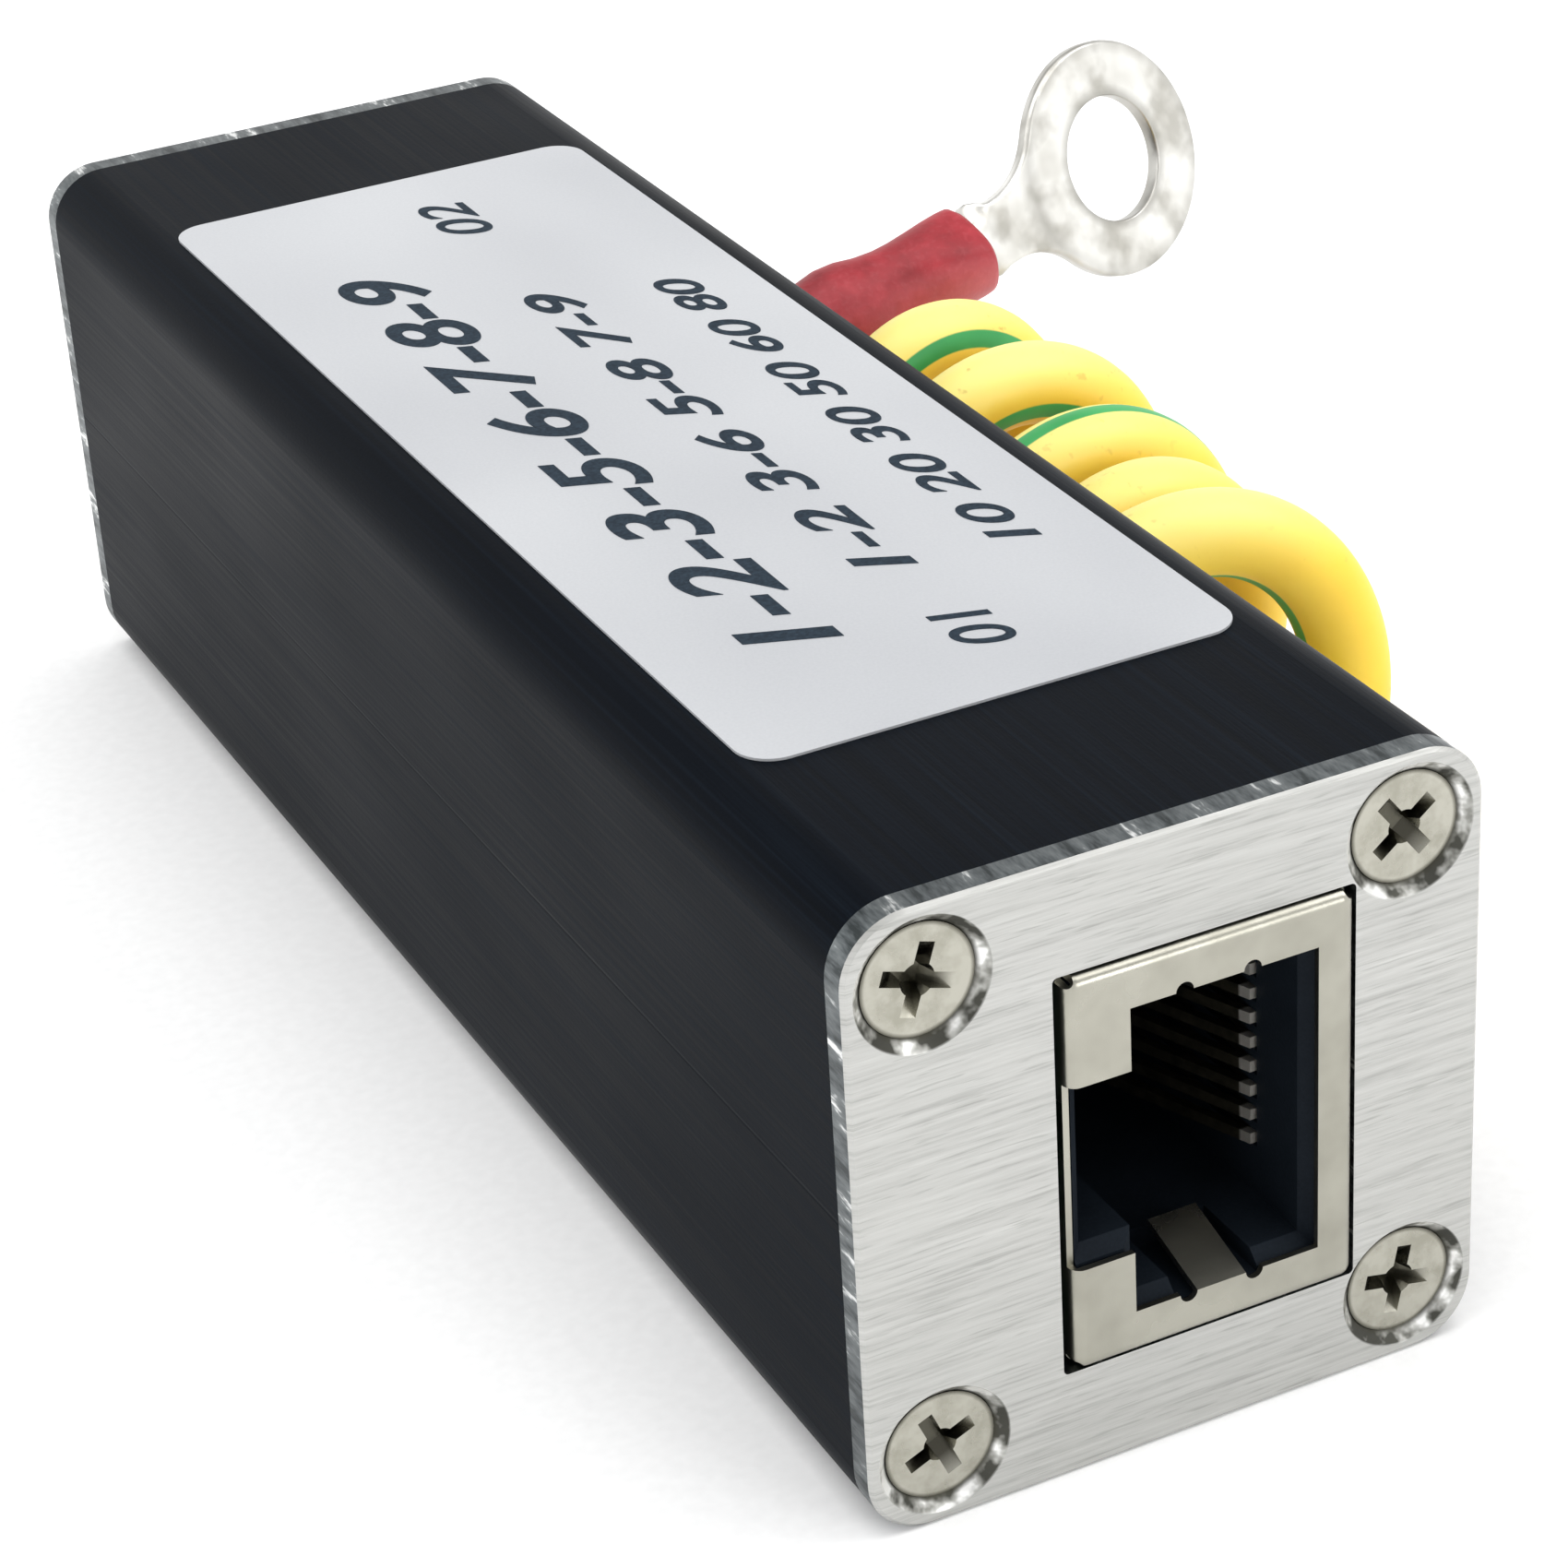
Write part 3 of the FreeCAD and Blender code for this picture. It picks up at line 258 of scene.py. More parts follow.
@dataclass(frozen=True)
class BrushedAluminium(Finish):
    """Aluminium sheet, brushed across and sheared to size."""

    # Short bright and dark lines run along X, a little coarser than the real ones, so that
    # they show. The sheared edges are duller, with upright tears, and their burrs glint.
    # The countersinks are scraped bright, and a painted shadow lies round each screw's head, in the gap
    # beside it.
    line_size: Size = (6.0, 3.0, 0.2)
    stroke_size: Size = (2.2, 3.0, 0.11)
    cloud_size: Size = (8.0, 8.0, 5.0)
    tear_size: Size = (0.8, 4.0, 0.8)
    scrape_size: Size = 1.1
    countersink_radius: float = 2.55
    shadow_gap_radius: float = 2.2
    blend: float = 0.07
    shadow_gap_blend: float = 0.12

    def shader(self, tree: Tree) -> Node:
        """Brush lines on the faces and torn metal on the edges.

        Args:
            tree: the material's nodes.

        Returns:
            The surface shader.
        """
        long_lines = add_node(tree, "ShaderNodeTexNoise", {
            "Vector": pattern_space(tree, self.line_size), "Scale": 1.0, "Detail": 4.0, "Roughness": 0.7})
        strokes = add_node(tree, "ShaderNodeTexNoise", {
            "Vector": pattern_space(tree, self.stroke_size), "Scale": 1.0, "Detail": 2.0})
        cloud = add_node(tree, "ShaderNodeTexNoise", {
            "Vector": pattern_space(tree, self.cloud_size), "Scale": 1.0, "Detail": 2.0})
        face = add_node(tree, "ShaderNodeValToRGB", {"Fac": long_lines}, [
            (0.3, "#a8a8a5"), (0.46, "#b9b9b6"), (0.6, "#bfbfbc"), (0.76, "#c9c9c6")])
        scored = add_node(tree, "ShaderNodeMapRange", {
            "Value": strokes, "From Min": 0.3, "From Max": 0.4, "To Min": 0.5, "To Max": 0.0})
        face = add_node(tree, "ShaderNodeMix", {
            "Factor": scored, 6: face, 7: linear("#92938f")}, data_type="RGBA")
        clouded = add_node(tree, "ShaderNodeMapRange", {
            "Value": cloud, "From Min": 0.3, "From Max": 0.7, "To Min": 0.0, "To Max": 0.2})
        face = add_node(tree, "ShaderNodeMix", {
            "Factor": clouded, 6: face, 7: linear("#b6b7b3")}, data_type="RGBA")
        tears = add_node(tree, "ShaderNodeTexNoise", {
            "Vector": pattern_space(tree, self.tear_size), "Scale": 1.0, "Detail": 4.0, "Roughness": 0.7})
        edge = add_node(tree, "ShaderNodeValToRGB", {"Fac": tears}, [
            (0.36, "#3a3f40"), (0.46, "#5c6163"), (0.58, "#787d7e"), (0.66, "#eff0ef")])
        facing = add_node(tree, "ShaderNodeSeparateXYZ", {
            0: add_node(tree, "ShaderNodeNewGeometry").outputs["True Normal"]})
        square_on = add_node(tree, "ShaderNodeMath", {0: facing.outputs["Y"]}, operation="ABSOLUTE")
        sheared = add_node(tree, "ShaderNodeMapRange", {
            "Value": square_on, "From Min": 0.3, "From Max": 0.6, "To Min": 1.0, "To Max": 0.0})
        colour = add_node(tree, "ShaderNodeMix", {"Factor": sheared, 6: face, 7: edge}, data_type="RGBA")
        reach = screw_distance(tree)
        bored = add_node(tree, "ShaderNodeMapRange", {
            "Value": reach, "From Min": self.countersink_radius,
            "From Max": self.countersink_radius + self.blend, "To Min": 1.0, "To Max": 0.0})
        scraped = add_node(tree, "ShaderNodeTexNoise", {
            "Vector": pattern_space(tree, self.scrape_size), "Scale": 1.0, "Detail": 3.0})
        wall = add_node(tree, "ShaderNodeValToRGB", {"Fac": scraped}, [
            (0.4, "#4a4a45"), (0.47, "#8f8f8a"), (0.53, "#b9b9b5"), (0.6, "#f6f6f4")])
        colour = add_node(tree, "ShaderNodeMix", {"Factor": bored, 6: colour, 7: wall}, data_type="RGBA")
        # Painted shadow in the gap round each screw's head.
        shadow_gap = add_node(tree, "ShaderNodeMapRange", {
            "Value": reach, "From Min": self.shadow_gap_radius,
            "From Max": self.shadow_gap_radius + self.shadow_gap_blend, "To Min": 0.85, "To Max": 0.0})
        colour = add_node(tree, "ShaderNodeMix", {"Factor": shadow_gap, 6: colour, 7: linear("#45443c")},
                          data_type="RGBA")
        matt = add_node(tree, "ShaderNodeMapRange", {
            "Value": long_lines, "From Min": 0.3, "From Max": 0.7,
            "To Min": self.roughness + 0.08, "To Max": self.roughness - 0.08})
        relief = add_node(tree, "ShaderNodeMath", {
            0: strokes, 1: 0.5, 2: long_lines}, operation="MULTIPLY_ADD")
        bump = add_node(tree, "ShaderNodeBump", {"Height": relief, "Distance": 0.012 * MM, "Strength": 0.6})
        return add_node(tree, "ShaderNodeBsdfPrincipled", {
            "Base Color": colour, "Metallic": 1.0, "Roughness": matt, "Normal": bump})


@dataclass(frozen=True)
class Plating(Finish):
    """Nickel, gold or solder over a base metal."""

    # Handling dulls the plate in soft blotches, so its reflections break up. Its grain is
    # coarser than the real one, so that it shows.
    clean: str = "#d8d5cb"
    dull: str = "#a39f92"
    blotch: float = 2.0
    grain: float = 0.15

    def shader(self, tree: Tree) -> Node:
        """Blotches of duller plate over a fine grain.

        Args:
            tree: the material's nodes.

        Returns:
            The surface shader.
        """
        blotches = add_node(tree, "ShaderNodeTexNoise", {
            "Vector": pattern_space(tree, self.blotch),
            "Scale": 1.0, "Detail": 3.0, "Roughness": 0.6})
        grains = add_node(tree, "ShaderNodeTexNoise", {
            "Vector": pattern_space(tree, self.grain), "Scale": 1.0, "Detail": 2.0})
        colour = add_node(tree, "ShaderNodeValToRGB", {"Fac": blotches}, [
            (0.32, self.dull), (0.62, self.clean)])
        matt = add_node(tree, "ShaderNodeMapRange", {
            "Value": blotches, "From Min": 0.3, "From Max": 0.7,
            "To Min": self.roughness + 0.06, "To Max": self.roughness - 0.06})
        bump = add_node(tree, "ShaderNodeBump", {"Height": grains, "Distance": 0.004 * MM})
        return add_node(tree, "ShaderNodeBsdfPrincipled", {
            "Base Color": colour, "Metallic": 1.0, "Roughness": matt, "Normal": bump})


@dataclass(frozen=True)
class ContactSpring(Finish):
    """Phosphor-bronze contact spring, plated only where it mates, with a painted glint there."""

    # Gold over bright nickel covers the fold alone, and is painted near white there as a painted glint; the
    # arms behind it are bare bronze, painted dark as painted shade.
    tarnish_size: Size = 0.6
    fold_depth: float = 0.475
    blend: float = 0.1

    def shader(self, tree: Tree) -> Node:
        """A painted glint on the fold, tarnished bronze with painted shade behind it.

        Args:
            tree: the material's nodes.

        Returns:
            The surface shader.
        """
        tarnish = add_node(tree, "ShaderNodeTexNoise", {
            "Vector": pattern_space(tree, self.tarnish_size), "Scale": 1.0, "Detail": 2.0})
        # The arms' dark colour is painted shade as well as tarnish.
        arm = add_node(tree, "ShaderNodeValToRGB", {"Fac": tarnish}, [(0.3, "#23221d"), (0.7, "#3a372e")])
        place = add_node(tree, "ShaderNodeSeparateXYZ", {0: pattern_space(tree)})
        depth = add_node(tree, "ShaderNodeMath", {0: place.outputs["Y"]}, operation="ABSOLUTE")
        fold_start = -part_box("front_jack_contact_1")[0].y / MM - self.fold_depth
        # The fold's near-white colour is a painted glint.
        plated = add_node(tree, "ShaderNodeMapRange", {
            "Value": depth, "From Min": fold_start, "From Max": fold_start + self.blend})
        colour = add_node(tree, "ShaderNodeMix", {"Factor": plated, 6: arm, 7: linear("#fffaf0")},
                          data_type="RGBA")
        matt = add_node(tree, "ShaderNodeMapRange", {
            "Value": plated, "To Min": 0.6, "To Max": self.roughness})
        return add_node(tree, "ShaderNodeBsdfPrincipled", {
            "Base Color": colour, "Metallic": 1.0, "Roughness": matt})


@dataclass(frozen=True)
class ScrewPlating(Finish):
    """Nickel-plated screw, with painted shade at its rim and in the driver's recess."""

    # The head is clean nickel. Painted shade darkens its rim, where the shadow gap round the head falls,
    # and the driver's recess.
    blotch: float = 1.2
    rim_start: float = 1.98
    rim_blend: float = 0.14
    shade_full_depth: float = 0.5
    shade_free_depth: float = 0.02

    def shader(self, tree: Tree) -> Node:
        """Clean nickel, with painted shade towards the rim and down the recess.

        Args:
            tree: the material's nodes.

        Returns:
            The surface shader.
        """
        blotches = add_node(tree, "ShaderNodeTexNoise", {
            "Vector": pattern_space(tree, self.blotch), "Scale": 1.0, "Detail": 3.0, "Roughness": 0.6})
        colour = add_node(tree, "ShaderNodeValToRGB", {"Fac": blotches}, [
            (0.35, "#9f9d91"), (0.6, "#b3b1a6")])
        # Painted shadow: the gap between the head's rim and the countersink.
        rim = add_node(tree, "ShaderNodeMapRange", {
            "Value": screw_distance(tree), "From Min": self.rim_start,
            "From Max": self.rim_start + self.rim_blend, "To Min": 0.0, "To Max": 0.8})
        place = add_node(tree, "ShaderNodeSeparateXYZ", {0: pattern_space(tree)})
        depth = add_node(tree, "ShaderNodeMath", {0: place.outputs["Y"]}, operation="ABSOLUTE")
        face = -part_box("front_plate_screws")[0].y / MM
        # Painted shade down the driver's recess.
        sunk = add_node(tree, "ShaderNodeMapRange", {
            "Value": depth, "From Min": face - self.shade_full_depth, "From Max": face - self.shade_free_depth,
            "To Min": 0.9, "To Max": 0.0})
        painted_shade = add_node(tree, "ShaderNodeMath", {0: rim, 1: sunk}, operation="MAXIMUM")
        colour = add_node(tree, "ShaderNodeMix", {"Factor": painted_shade, 6: colour, 7: linear("#46443a")},
                          data_type="RGBA")
        matt = add_node(tree, "ShaderNodeMapRange", {
            "Value": blotches, "From Min": 0.3, "From Max": 0.7,
            "To Min": self.roughness + 0.05, "To Max": self.roughness - 0.05})
        bump = add_node(tree, "ShaderNodeBump", {"Height": blotches, "Distance": 0.01 * MM})
        return add_node(tree, "ShaderNodeBsdfPrincipled", {
            "Base Color": colour, "Metallic": 1.0, "Roughness": matt, "Normal": bump})


@dataclass(frozen=True)
class TinnedCopper(Finish):
    """Stamped copper sheet, tin plated in a barrel."""

    # Tin is pale and slightly warm. Tumbling leaves soft dents, and age leaves
    # grey-brown stains in them. The rounded rims are coloured darker, by distances from the
    # hole's middle.
    dent_size: Size = 2.6
    stain_size: Size = 2.0
    pit_size: Size = 0.5
    outer_rim: float = 5.85
    outer_blend: float = 0.7
    inner_rim: float = 3.2
    inner_blend: float = 0.5
    neck_start: float = 5.95
    neck_clean: float = 6.75

    def shader(self, tree: Tree) -> Node:
        """Pale metal with a few soft stains and dents.

        Args:
            tree: the material's nodes.

        Returns:
            The surface shader.
        """
        dents = add_node(tree, "ShaderNodeTexNoise", {
            "Vector": pattern_space(tree, self.dent_size), "Scale": 1.0, "Detail": 2.0})
        stains = add_node(tree, "ShaderNodeTexNoise", {
            "Vector": pattern_space(tree, self.stain_size), "Scale": 1.0, "Detail": 2.5, "Roughness": 0.5})
        pits = add_node(tree, "ShaderNodeTexNoise", {
            "Vector": pattern_space(tree, self.pit_size), "Scale": 1.0, "Detail": 2.0})
        bright = add_node(tree, "ShaderNodeValToRGB", {"Fac": dents}, [(0.38, "#cfcdc6"), (0.6, "#eae9e4")])
        aged = add_node(tree, "ShaderNodeMapRange", {
            "Value": stains, "From Min": 0.48, "From Max": 0.66, "To Min": 0.0, "To Max": 0.55})
        colour = add_node(tree, "ShaderNodeMix", {"Factor": aged, 6: bright, 7: linear("#98958c")},
                          data_type="RGBA")
        middle = tuple(Vector(stud_hole()["pos_m"]) / MM)
        reach = add_node(tree, "ShaderNodeVectorMath", {
            0: pattern_space(tree), 1: middle}, operation="DISTANCE")
        outer = add_node(tree, "ShaderNodeMapRange", {
            "Value": reach, "From Min": self.outer_rim - self.outer_blend, "From Max": self.outer_rim,
            "To Max": 0.4})
        inner = add_node(tree, "ShaderNodeMapRange", {
            "Value": reach, "From Min": self.inner_rim, "From Max": self.inner_rim + self.inner_blend,
            "To Min": 0.6, "To Max": 0.0})
        past = add_node(tree, "ShaderNodeMapRange", {
            "Value": reach, "From Min": self.neck_start, "From Max": self.neck_clean,
            "To Min": 1.0, "To Max": 0.0})
        outer = add_node(tree, "ShaderNodeMath", {0: outer, 1: past}, operation="MULTIPLY")
        rim = add_node(tree, "ShaderNodeMath", {0: outer, 1: inner}, operation="MAXIMUM")
        colour = add_node(tree, "ShaderNodeMix", {"Factor": rim, 6: colour, 7: linear("#8e8c86")},
                          data_type="RGBA")
        matt = add_node(tree, "ShaderNodeMapRange", {
            "Value": stains, "From Min": 0.4, "From Max": 0.7,
            "To Min": self.roughness - 0.06, "To Max": self.roughness + 0.1})
        relief = add_node(tree, "ShaderNodeMath", {0: pits, 1: 0.15, 2: dents}, operation="MULTIPLY_ADD")
        bump = add_node(tree, "ShaderNodeBump", {
            "Height": relief, "Distance": 0.12 * MM, "Strength": 0.7})
        return add_node(tree, "ShaderNodeBsdfPrincipled", {
            "Base Color": colour, "Metallic": 1.0, "Roughness": matt, "Normal": bump})


@dataclass(frozen=True)
class Moulding(Finish):
    """Moulded plastic, epoxy or rubber, straight from a spark-eroded tool."""

    # The tool's fine grain breaks the gloss, and the tone drifts slightly with the flow. The
    # grain is coarser than the real one, so that it shows.
    dark: str = "#10141c"
    light: str = "#1a1f29"
    grain: float = 0.12
    flow_size: Size = 3.0

    def shader(self, tree: Tree) -> Node:
        """A fine grain with a slight change of tone.

        Args:
            tree: the material's nodes.

        Returns:
            The surface shader.
        """
        grains = add_node(tree, "ShaderNodeTexNoise", {
            "Vector": pattern_space(tree, self.grain), "Scale": 1.0, "Detail": 2.0})
        flow = add_node(tree, "ShaderNodeTexNoise", {
            "Vector": pattern_space(tree, self.flow_size), "Scale": 1.0, "Detail": 2.0})
        tone = add_node(tree, "ShaderNodeMix", {"Factor": 0.4, 2: flow, 3: grains})
        colour = add_node(tree, "ShaderNodeValToRGB", {"Fac": tone}, [(0.3, self.dark), (0.7, self.light)])
        bump = add_node(tree, "ShaderNodeBump", {"Height": grains, "Distance": 0.006 * MM})
        return add_node(tree, "ShaderNodeBsdfPrincipled", {
            "Base Color": colour, "Roughness": self.roughness, "IOR": self.ior, "Normal": bump})


@dataclass(frozen=True)
class SilverFilm(Finish):
    """Silver polyester label film with a satin top coat."""

    # Aluminium flakes under the coat give a soft, even grey with the faintest mottle. They
    # are larger than real ones, so that they show.
    flake_size: Size = 0.12
    cloud_size: Size = (9.0, 16.0, 9.0)

    def shader(self, tree: Tree) -> Node:
        """Fine flakes under a satin coat.

        Args:
            tree: the material's nodes.

        Returns:
            The surface shader.
        """
        flakes = add_node(tree, "ShaderNodeTexNoise", {
            "Vector": pattern_space(tree, self.flake_size), "Scale": 1.0, "Detail": 2.0})
        cloud = add_node(tree, "ShaderNodeTexNoise", {
            "Vector": pattern_space(tree, self.cloud_size), "Scale": 1.0, "Detail": 1.0})
        tone = add_node(tree, "ShaderNodeMix", {"Factor": 0.3, 2: cloud, 3: flakes})
        colour = add_node(tree, "ShaderNodeValToRGB", {"Fac": tone}, [(0.3, "#b1b3b7"), (0.7, "#c0c2c5")])
        bump = add_node(tree, "ShaderNodeBump", {"Height": flakes, "Distance": 0.002 * MM})
        return add_node(tree, "ShaderNodeBsdfPrincipled", {
            "Base Color": colour, "Metallic": 0.3, "Roughness": self.roughness, "Normal": bump})


@dataclass(frozen=True)
class TransferInk(Finish):
    """Thermal-transfer print: a thin film of blue-black resin ink."""

    # The ribbon's grain, coarser here so that it shows, leaves the film slightly mottled.
    grain: float = 0.15

    def shader(self, tree: Tree) -> Node:
        """Blue-black with a faint mottle.

        Args:
            tree: the material's nodes.

        Returns:
            The surface shader.
        """
        grains = add_node(tree, "ShaderNodeTexNoise", {
            "Vector": pattern_space(tree, self.grain), "Scale": 1.0, "Detail": 2.0})
        colour = add_node(tree, "ShaderNodeValToRGB", {"Fac": grains}, [
            (0.35, "#16222d"), (0.75, "#273541")])
        bump = add_node(tree, "ShaderNodeBump", {"Height": grains, "Distance": 0.002 * MM})
        return add_node(tree, "ShaderNodeBsdfPrincipled", {
            "Base Color": colour, "Roughness": self.roughness, "IOR": self.ior, "Normal": bump})


@dataclass(frozen=True)
class StripedPvc(Finish):
    """Extruded PVC insulation: yellow, with a green stripe extruded into it."""

    # PVC is soft and waxy, so light spreads in it a little. The upper side of the higher turns is
    # painted a pale lemon as a painted highlight; it stays amber below. Handling leaves brown specks.
    stripe_share: float = 0.065
    blur_share: float = 0.006
    cloud_size: Size = 4.0
    speck_size: Size = 0.55
    patch_size: Size = 5.0
    wave_size: Size = 1.2
    top_light_start_z: float = 15.0
    top_light_full_z: float = 20.0
    clean_to_y: float = 6.0
    handled_from_y: float = 14.0

    def shader(self, tree: Tree) -> Node:
        """The stripe by the place round the lead, then specks and a waxy waviness.

        Args:
            tree: the material's nodes.

        Returns:
            The surface shader.
        """
        around = add_node(tree, "ShaderNodeSeparateXYZ", {
            0: add_node(tree, "ShaderNodeUVMap", uv_map=STRIPE_MAP)})
        off = add_node(tree, "ShaderNodeMath", {0: around.outputs["Y"], 1: 0.5}, operation="SUBTRACT")
        off = add_node(tree, "ShaderNodeMath", {0: off}, operation="ABSOLUTE")
        half = self.stripe_share / 2
        stripe = add_node(tree, "ShaderNodeMapRange", {
            "Value": off, "From Min": half, "From Max": half + self.blur_share,
            "To Min": 1.0, "To Max": 0.0})
        cloud = add_node(tree, "ShaderNodeTexNoise", {
            "Vector": pattern_space(tree, self.cloud_size), "Scale": 1.0, "Detail": 2.0})
        yellow = add_node(tree, "ShaderNodeValToRGB", {"Fac": cloud}, [(0.3, "#eec734"), (0.7, "#f2cf3e")])
        # Painted highlight: faces turned up on the higher turns are painted pale lemon.
        facing = add_node(tree, "ShaderNodeSeparateXYZ", {
            0: add_node(tree, "ShaderNodeNewGeometry").outputs["Normal"]})
        painted_top_light = add_node(tree, "ShaderNodeMapRange", {
            "Value": facing.outputs["Z"], "From Min": -0.3, "From Max": 0.65,
            "To Min": 0.0, "To Max": 0.95})
        place = add_node(tree, "ShaderNodeSeparateXYZ", {0: pattern_space(tree)})
        top_light_height = add_node(tree, "ShaderNodeMapRange", {
            "Value": place.outputs["Z"], "From Min": self.top_light_start_z, "From Max": self.top_light_full_z})
        painted_top_light = add_node(tree, "ShaderNodeMath", {0: painted_top_light, 1: top_light_height}, operation="MULTIPLY")
        yellow = add_node(tree, "ShaderNodeMix", {"Factor": painted_top_light, 6: yellow, 7: linear("#f7f09a")},
                          data_type="RGBA")
        green = add_node(tree, "ShaderNodeValToRGB", {"Fac": cloud}, [(0.3, "#25924a"), (0.7, "#3aa95b")])
        specks = add_node(tree, "ShaderNodeTexNoise", {
            "Vector": pattern_space(tree, self.speck_size), "Scale": 1.0, "Detail": 2.0})
        patches = add_node(tree, "ShaderNodeTexNoise", {
            "Vector": pattern_space(tree, self.patch_size), "Scale": 1.0, "Detail": 1.0})
        marked = add_node(tree, "ShaderNodeMapRange", {
            "Value": specks, "From Min": 0.64, "From Max": 0.72, "To Min": 0.0, "To Max": 0.7})
        handled = add_node(tree, "ShaderNodeMapRange", {
            "Value": patches, "From Min": 0.42, "From Max": 0.55, "To Min": 0.0, "To Max": 1.0})
        near_end = add_node(tree, "ShaderNodeMapRange", {
            "Value": place.outputs["Y"], "From Min": self.clean_to_y, "From Max": self.handled_from_y,
            "To Min": 0.3, "To Max": 1.0})
        handled = add_node(tree, "ShaderNodeMath", {0: handled, 1: near_end}, operation="MULTIPLY")
        dirt = add_node(tree, "ShaderNodeMath", {0: marked, 1: handled}, operation="MULTIPLY")
        yellow = add_node(tree, "ShaderNodeMix", {"Factor": dirt, 6: yellow, 7: linear("#a08022")},
                          data_type="RGBA")
        colour = add_node(tree, "ShaderNodeMix", {"Factor": stripe, 6: yellow, 7: green}, data_type="RGBA")
        waves = add_node(tree, "ShaderNodeTexNoise", {
            "Vector": pattern_space(tree, self.wave_size), "Scale": 1.0, "Detail": 3.0})
        bump = add_node(tree, "ShaderNodeBump", {"Height": waves, "Distance": 0.03 * MM, "Strength": 0.5})
        return add_node(tree, "ShaderNodeBsdfPrincipled", {
            "Base Color": colour, "Roughness": self.roughness, "IOR": self.ior, "Normal": bump,
            "Subsurface Weight": 0.2, "Subsurface Radius": (1.0, 0.75, 0.2), "Subsurface Scale": 0.8 * MM})


@dataclass(frozen=True)
class Vinyl(Finish):
    """Plasticised vinyl sleeve, squeezed in a crimping tool."""

    # The squeeze leaves a chalky bloom in the waxy red. The lower side is painted paler pink, as painted
    # light bounced up from the floor.
    cloud_size: Size = 1.8
    chalk_size: Size = 0.3

    def shader(self, tree: Tree) -> Node:
        """Mottled red with chalky patches, and painted floor light on the lower side.

        Args:
            tree: the material's nodes.

        Returns:
            The surface shader.
        """
        cloud = add_node(tree, "ShaderNodeTexNoise", {
            "Vector": pattern_space(tree, self.cloud_size), "Scale": 1.0, "Detail": 3.0, "Roughness": 0.6})
        chalk = add_node(tree, "ShaderNodeTexNoise", {
            "Vector": pattern_space(tree, self.chalk_size), "Scale": 1.0, "Detail": 2.0})
        red = add_node(tree, "ShaderNodeValToRGB", {"Fac": cloud}, [
            (0.3, "#820d19"), (0.55, "#961422"), (0.75, "#a82733")])
        bloom_and_floor_light = add_node(tree, "ShaderNodeMapRange", {
            "Value": chalk, "From Min": 0.5, "From Max": 0.8, "To Min": 0.0, "To Max": 0.12})
        # Painted light from the floor: the more a face turns down, the paler pink it is painted.
        facing = add_node(tree, "ShaderNodeSeparateXYZ", {
            0: add_node(tree, "ShaderNodeNewGeometry").outputs["Normal"]})
        shaded = add_node(tree, "ShaderNodeMapRange", {
            "Value": facing.outputs["Z"], "From Min": 0.6, "From Max": -0.2, "To Min": 0.0, "To Max": 0.6})
        bloom_and_floor_light = add_node(tree, "ShaderNodeMath", {0: bloom_and_floor_light, 1: shaded}, operation="ADD")
        colour = add_node(tree, "ShaderNodeMix", {
            "Factor": bloom_and_floor_light, 6: red, 7: linear("#c86870")}, data_type="RGBA")
        relief = add_node(tree, "ShaderNodeMath", {0: chalk, 1: 0.3, 2: cloud}, operation="MULTIPLY_ADD")
        bump = add_node(tree, "ShaderNodeBump", {"Height": relief, "Distance": 0.08 * MM, "Strength": 0.6})
        return add_node(tree, "ShaderNodeBsdfPrincipled", {
            "Base Color": colour, "Roughness": self.roughness, "IOR": self.ior, "Normal": bump,
            "Subsurface Weight": 0.15, "Subsurface Radius": (1.0, 0.2, 0.2), "Subsurface Scale": 0.6 * MM})


@dataclass(frozen=True)
class CopperStrands(Finish):
    """Bare stranded copper."""

    # Fine twisted wires catch the light in slanting bands; air tarnishes them.
    strand: float = 0.18
    tarnish_size: Size = 1.0

    def shader(self, tree: Tree) -> Node:
        """Bands at the strands' spacing, with a little tarnish.

        Args:
            tree: the material's nodes.

        Returns:
            The surface shader.
        """
        bands = add_node(tree, "ShaderNodeTexWave", {
            "Vector": pattern_space(tree, self.strand), "Scale": 0.5,
            "Distortion": 1.5, "Detail": 1.0}, bands_direction="DIAGONAL")
        tarnish = add_node(tree, "ShaderNodeTexNoise", {
            "Vector": pattern_space(tree, self.tarnish_size), "Scale": 1.0, "Detail": 2.0})
        colour = add_node(tree, "ShaderNodeValToRGB", {"Fac": tarnish}, [
            (0.3, "#a8643f"), (0.7, "#d08a5e")])
        bump = add_node(tree, "ShaderNodeBump", {"Height": bands.outputs["Fac"], "Distance": 0.06 * MM})
        return add_node(tree, "ShaderNodeBsdfPrincipled", {
            "Base Color": colour, "Metallic": 1.0, "Roughness": self.roughness, "Normal": bump})


@dataclass(frozen=True)
class GlazedCeramic(Finish):
    """Glazed alumina barrel of a gas tube."""

    # A pale, faintly pink body with fine kiln specks under the glaze.
    speck_size: Size = 0.4

    def shader(self, tree: Tree) -> Node:
        """Pale ceramic with fine specks.

        Args:
            tree: the material's nodes.

        Returns:
            The surface shader.
        """
        specks = add_node(tree, "ShaderNodeTexNoise", {
            "Vector": pattern_space(tree, self.speck_size), "Scale": 1.0, "Detail": 3.0})
        colour = add_node(tree, "ShaderNodeValToRGB", {"Fac": specks}, [(0.3, "#d9cfc9"), (0.7, "#ebe4df")])
        bump = add_node(tree, "ShaderNodeBump", {"Height": specks, "Distance": 0.01 * MM})
        return add_node(tree, "ShaderNodeBsdfPrincipled", {
            "Base Color": colour, "Roughness": self.roughness, "IOR": self.ior, "Normal": bump})


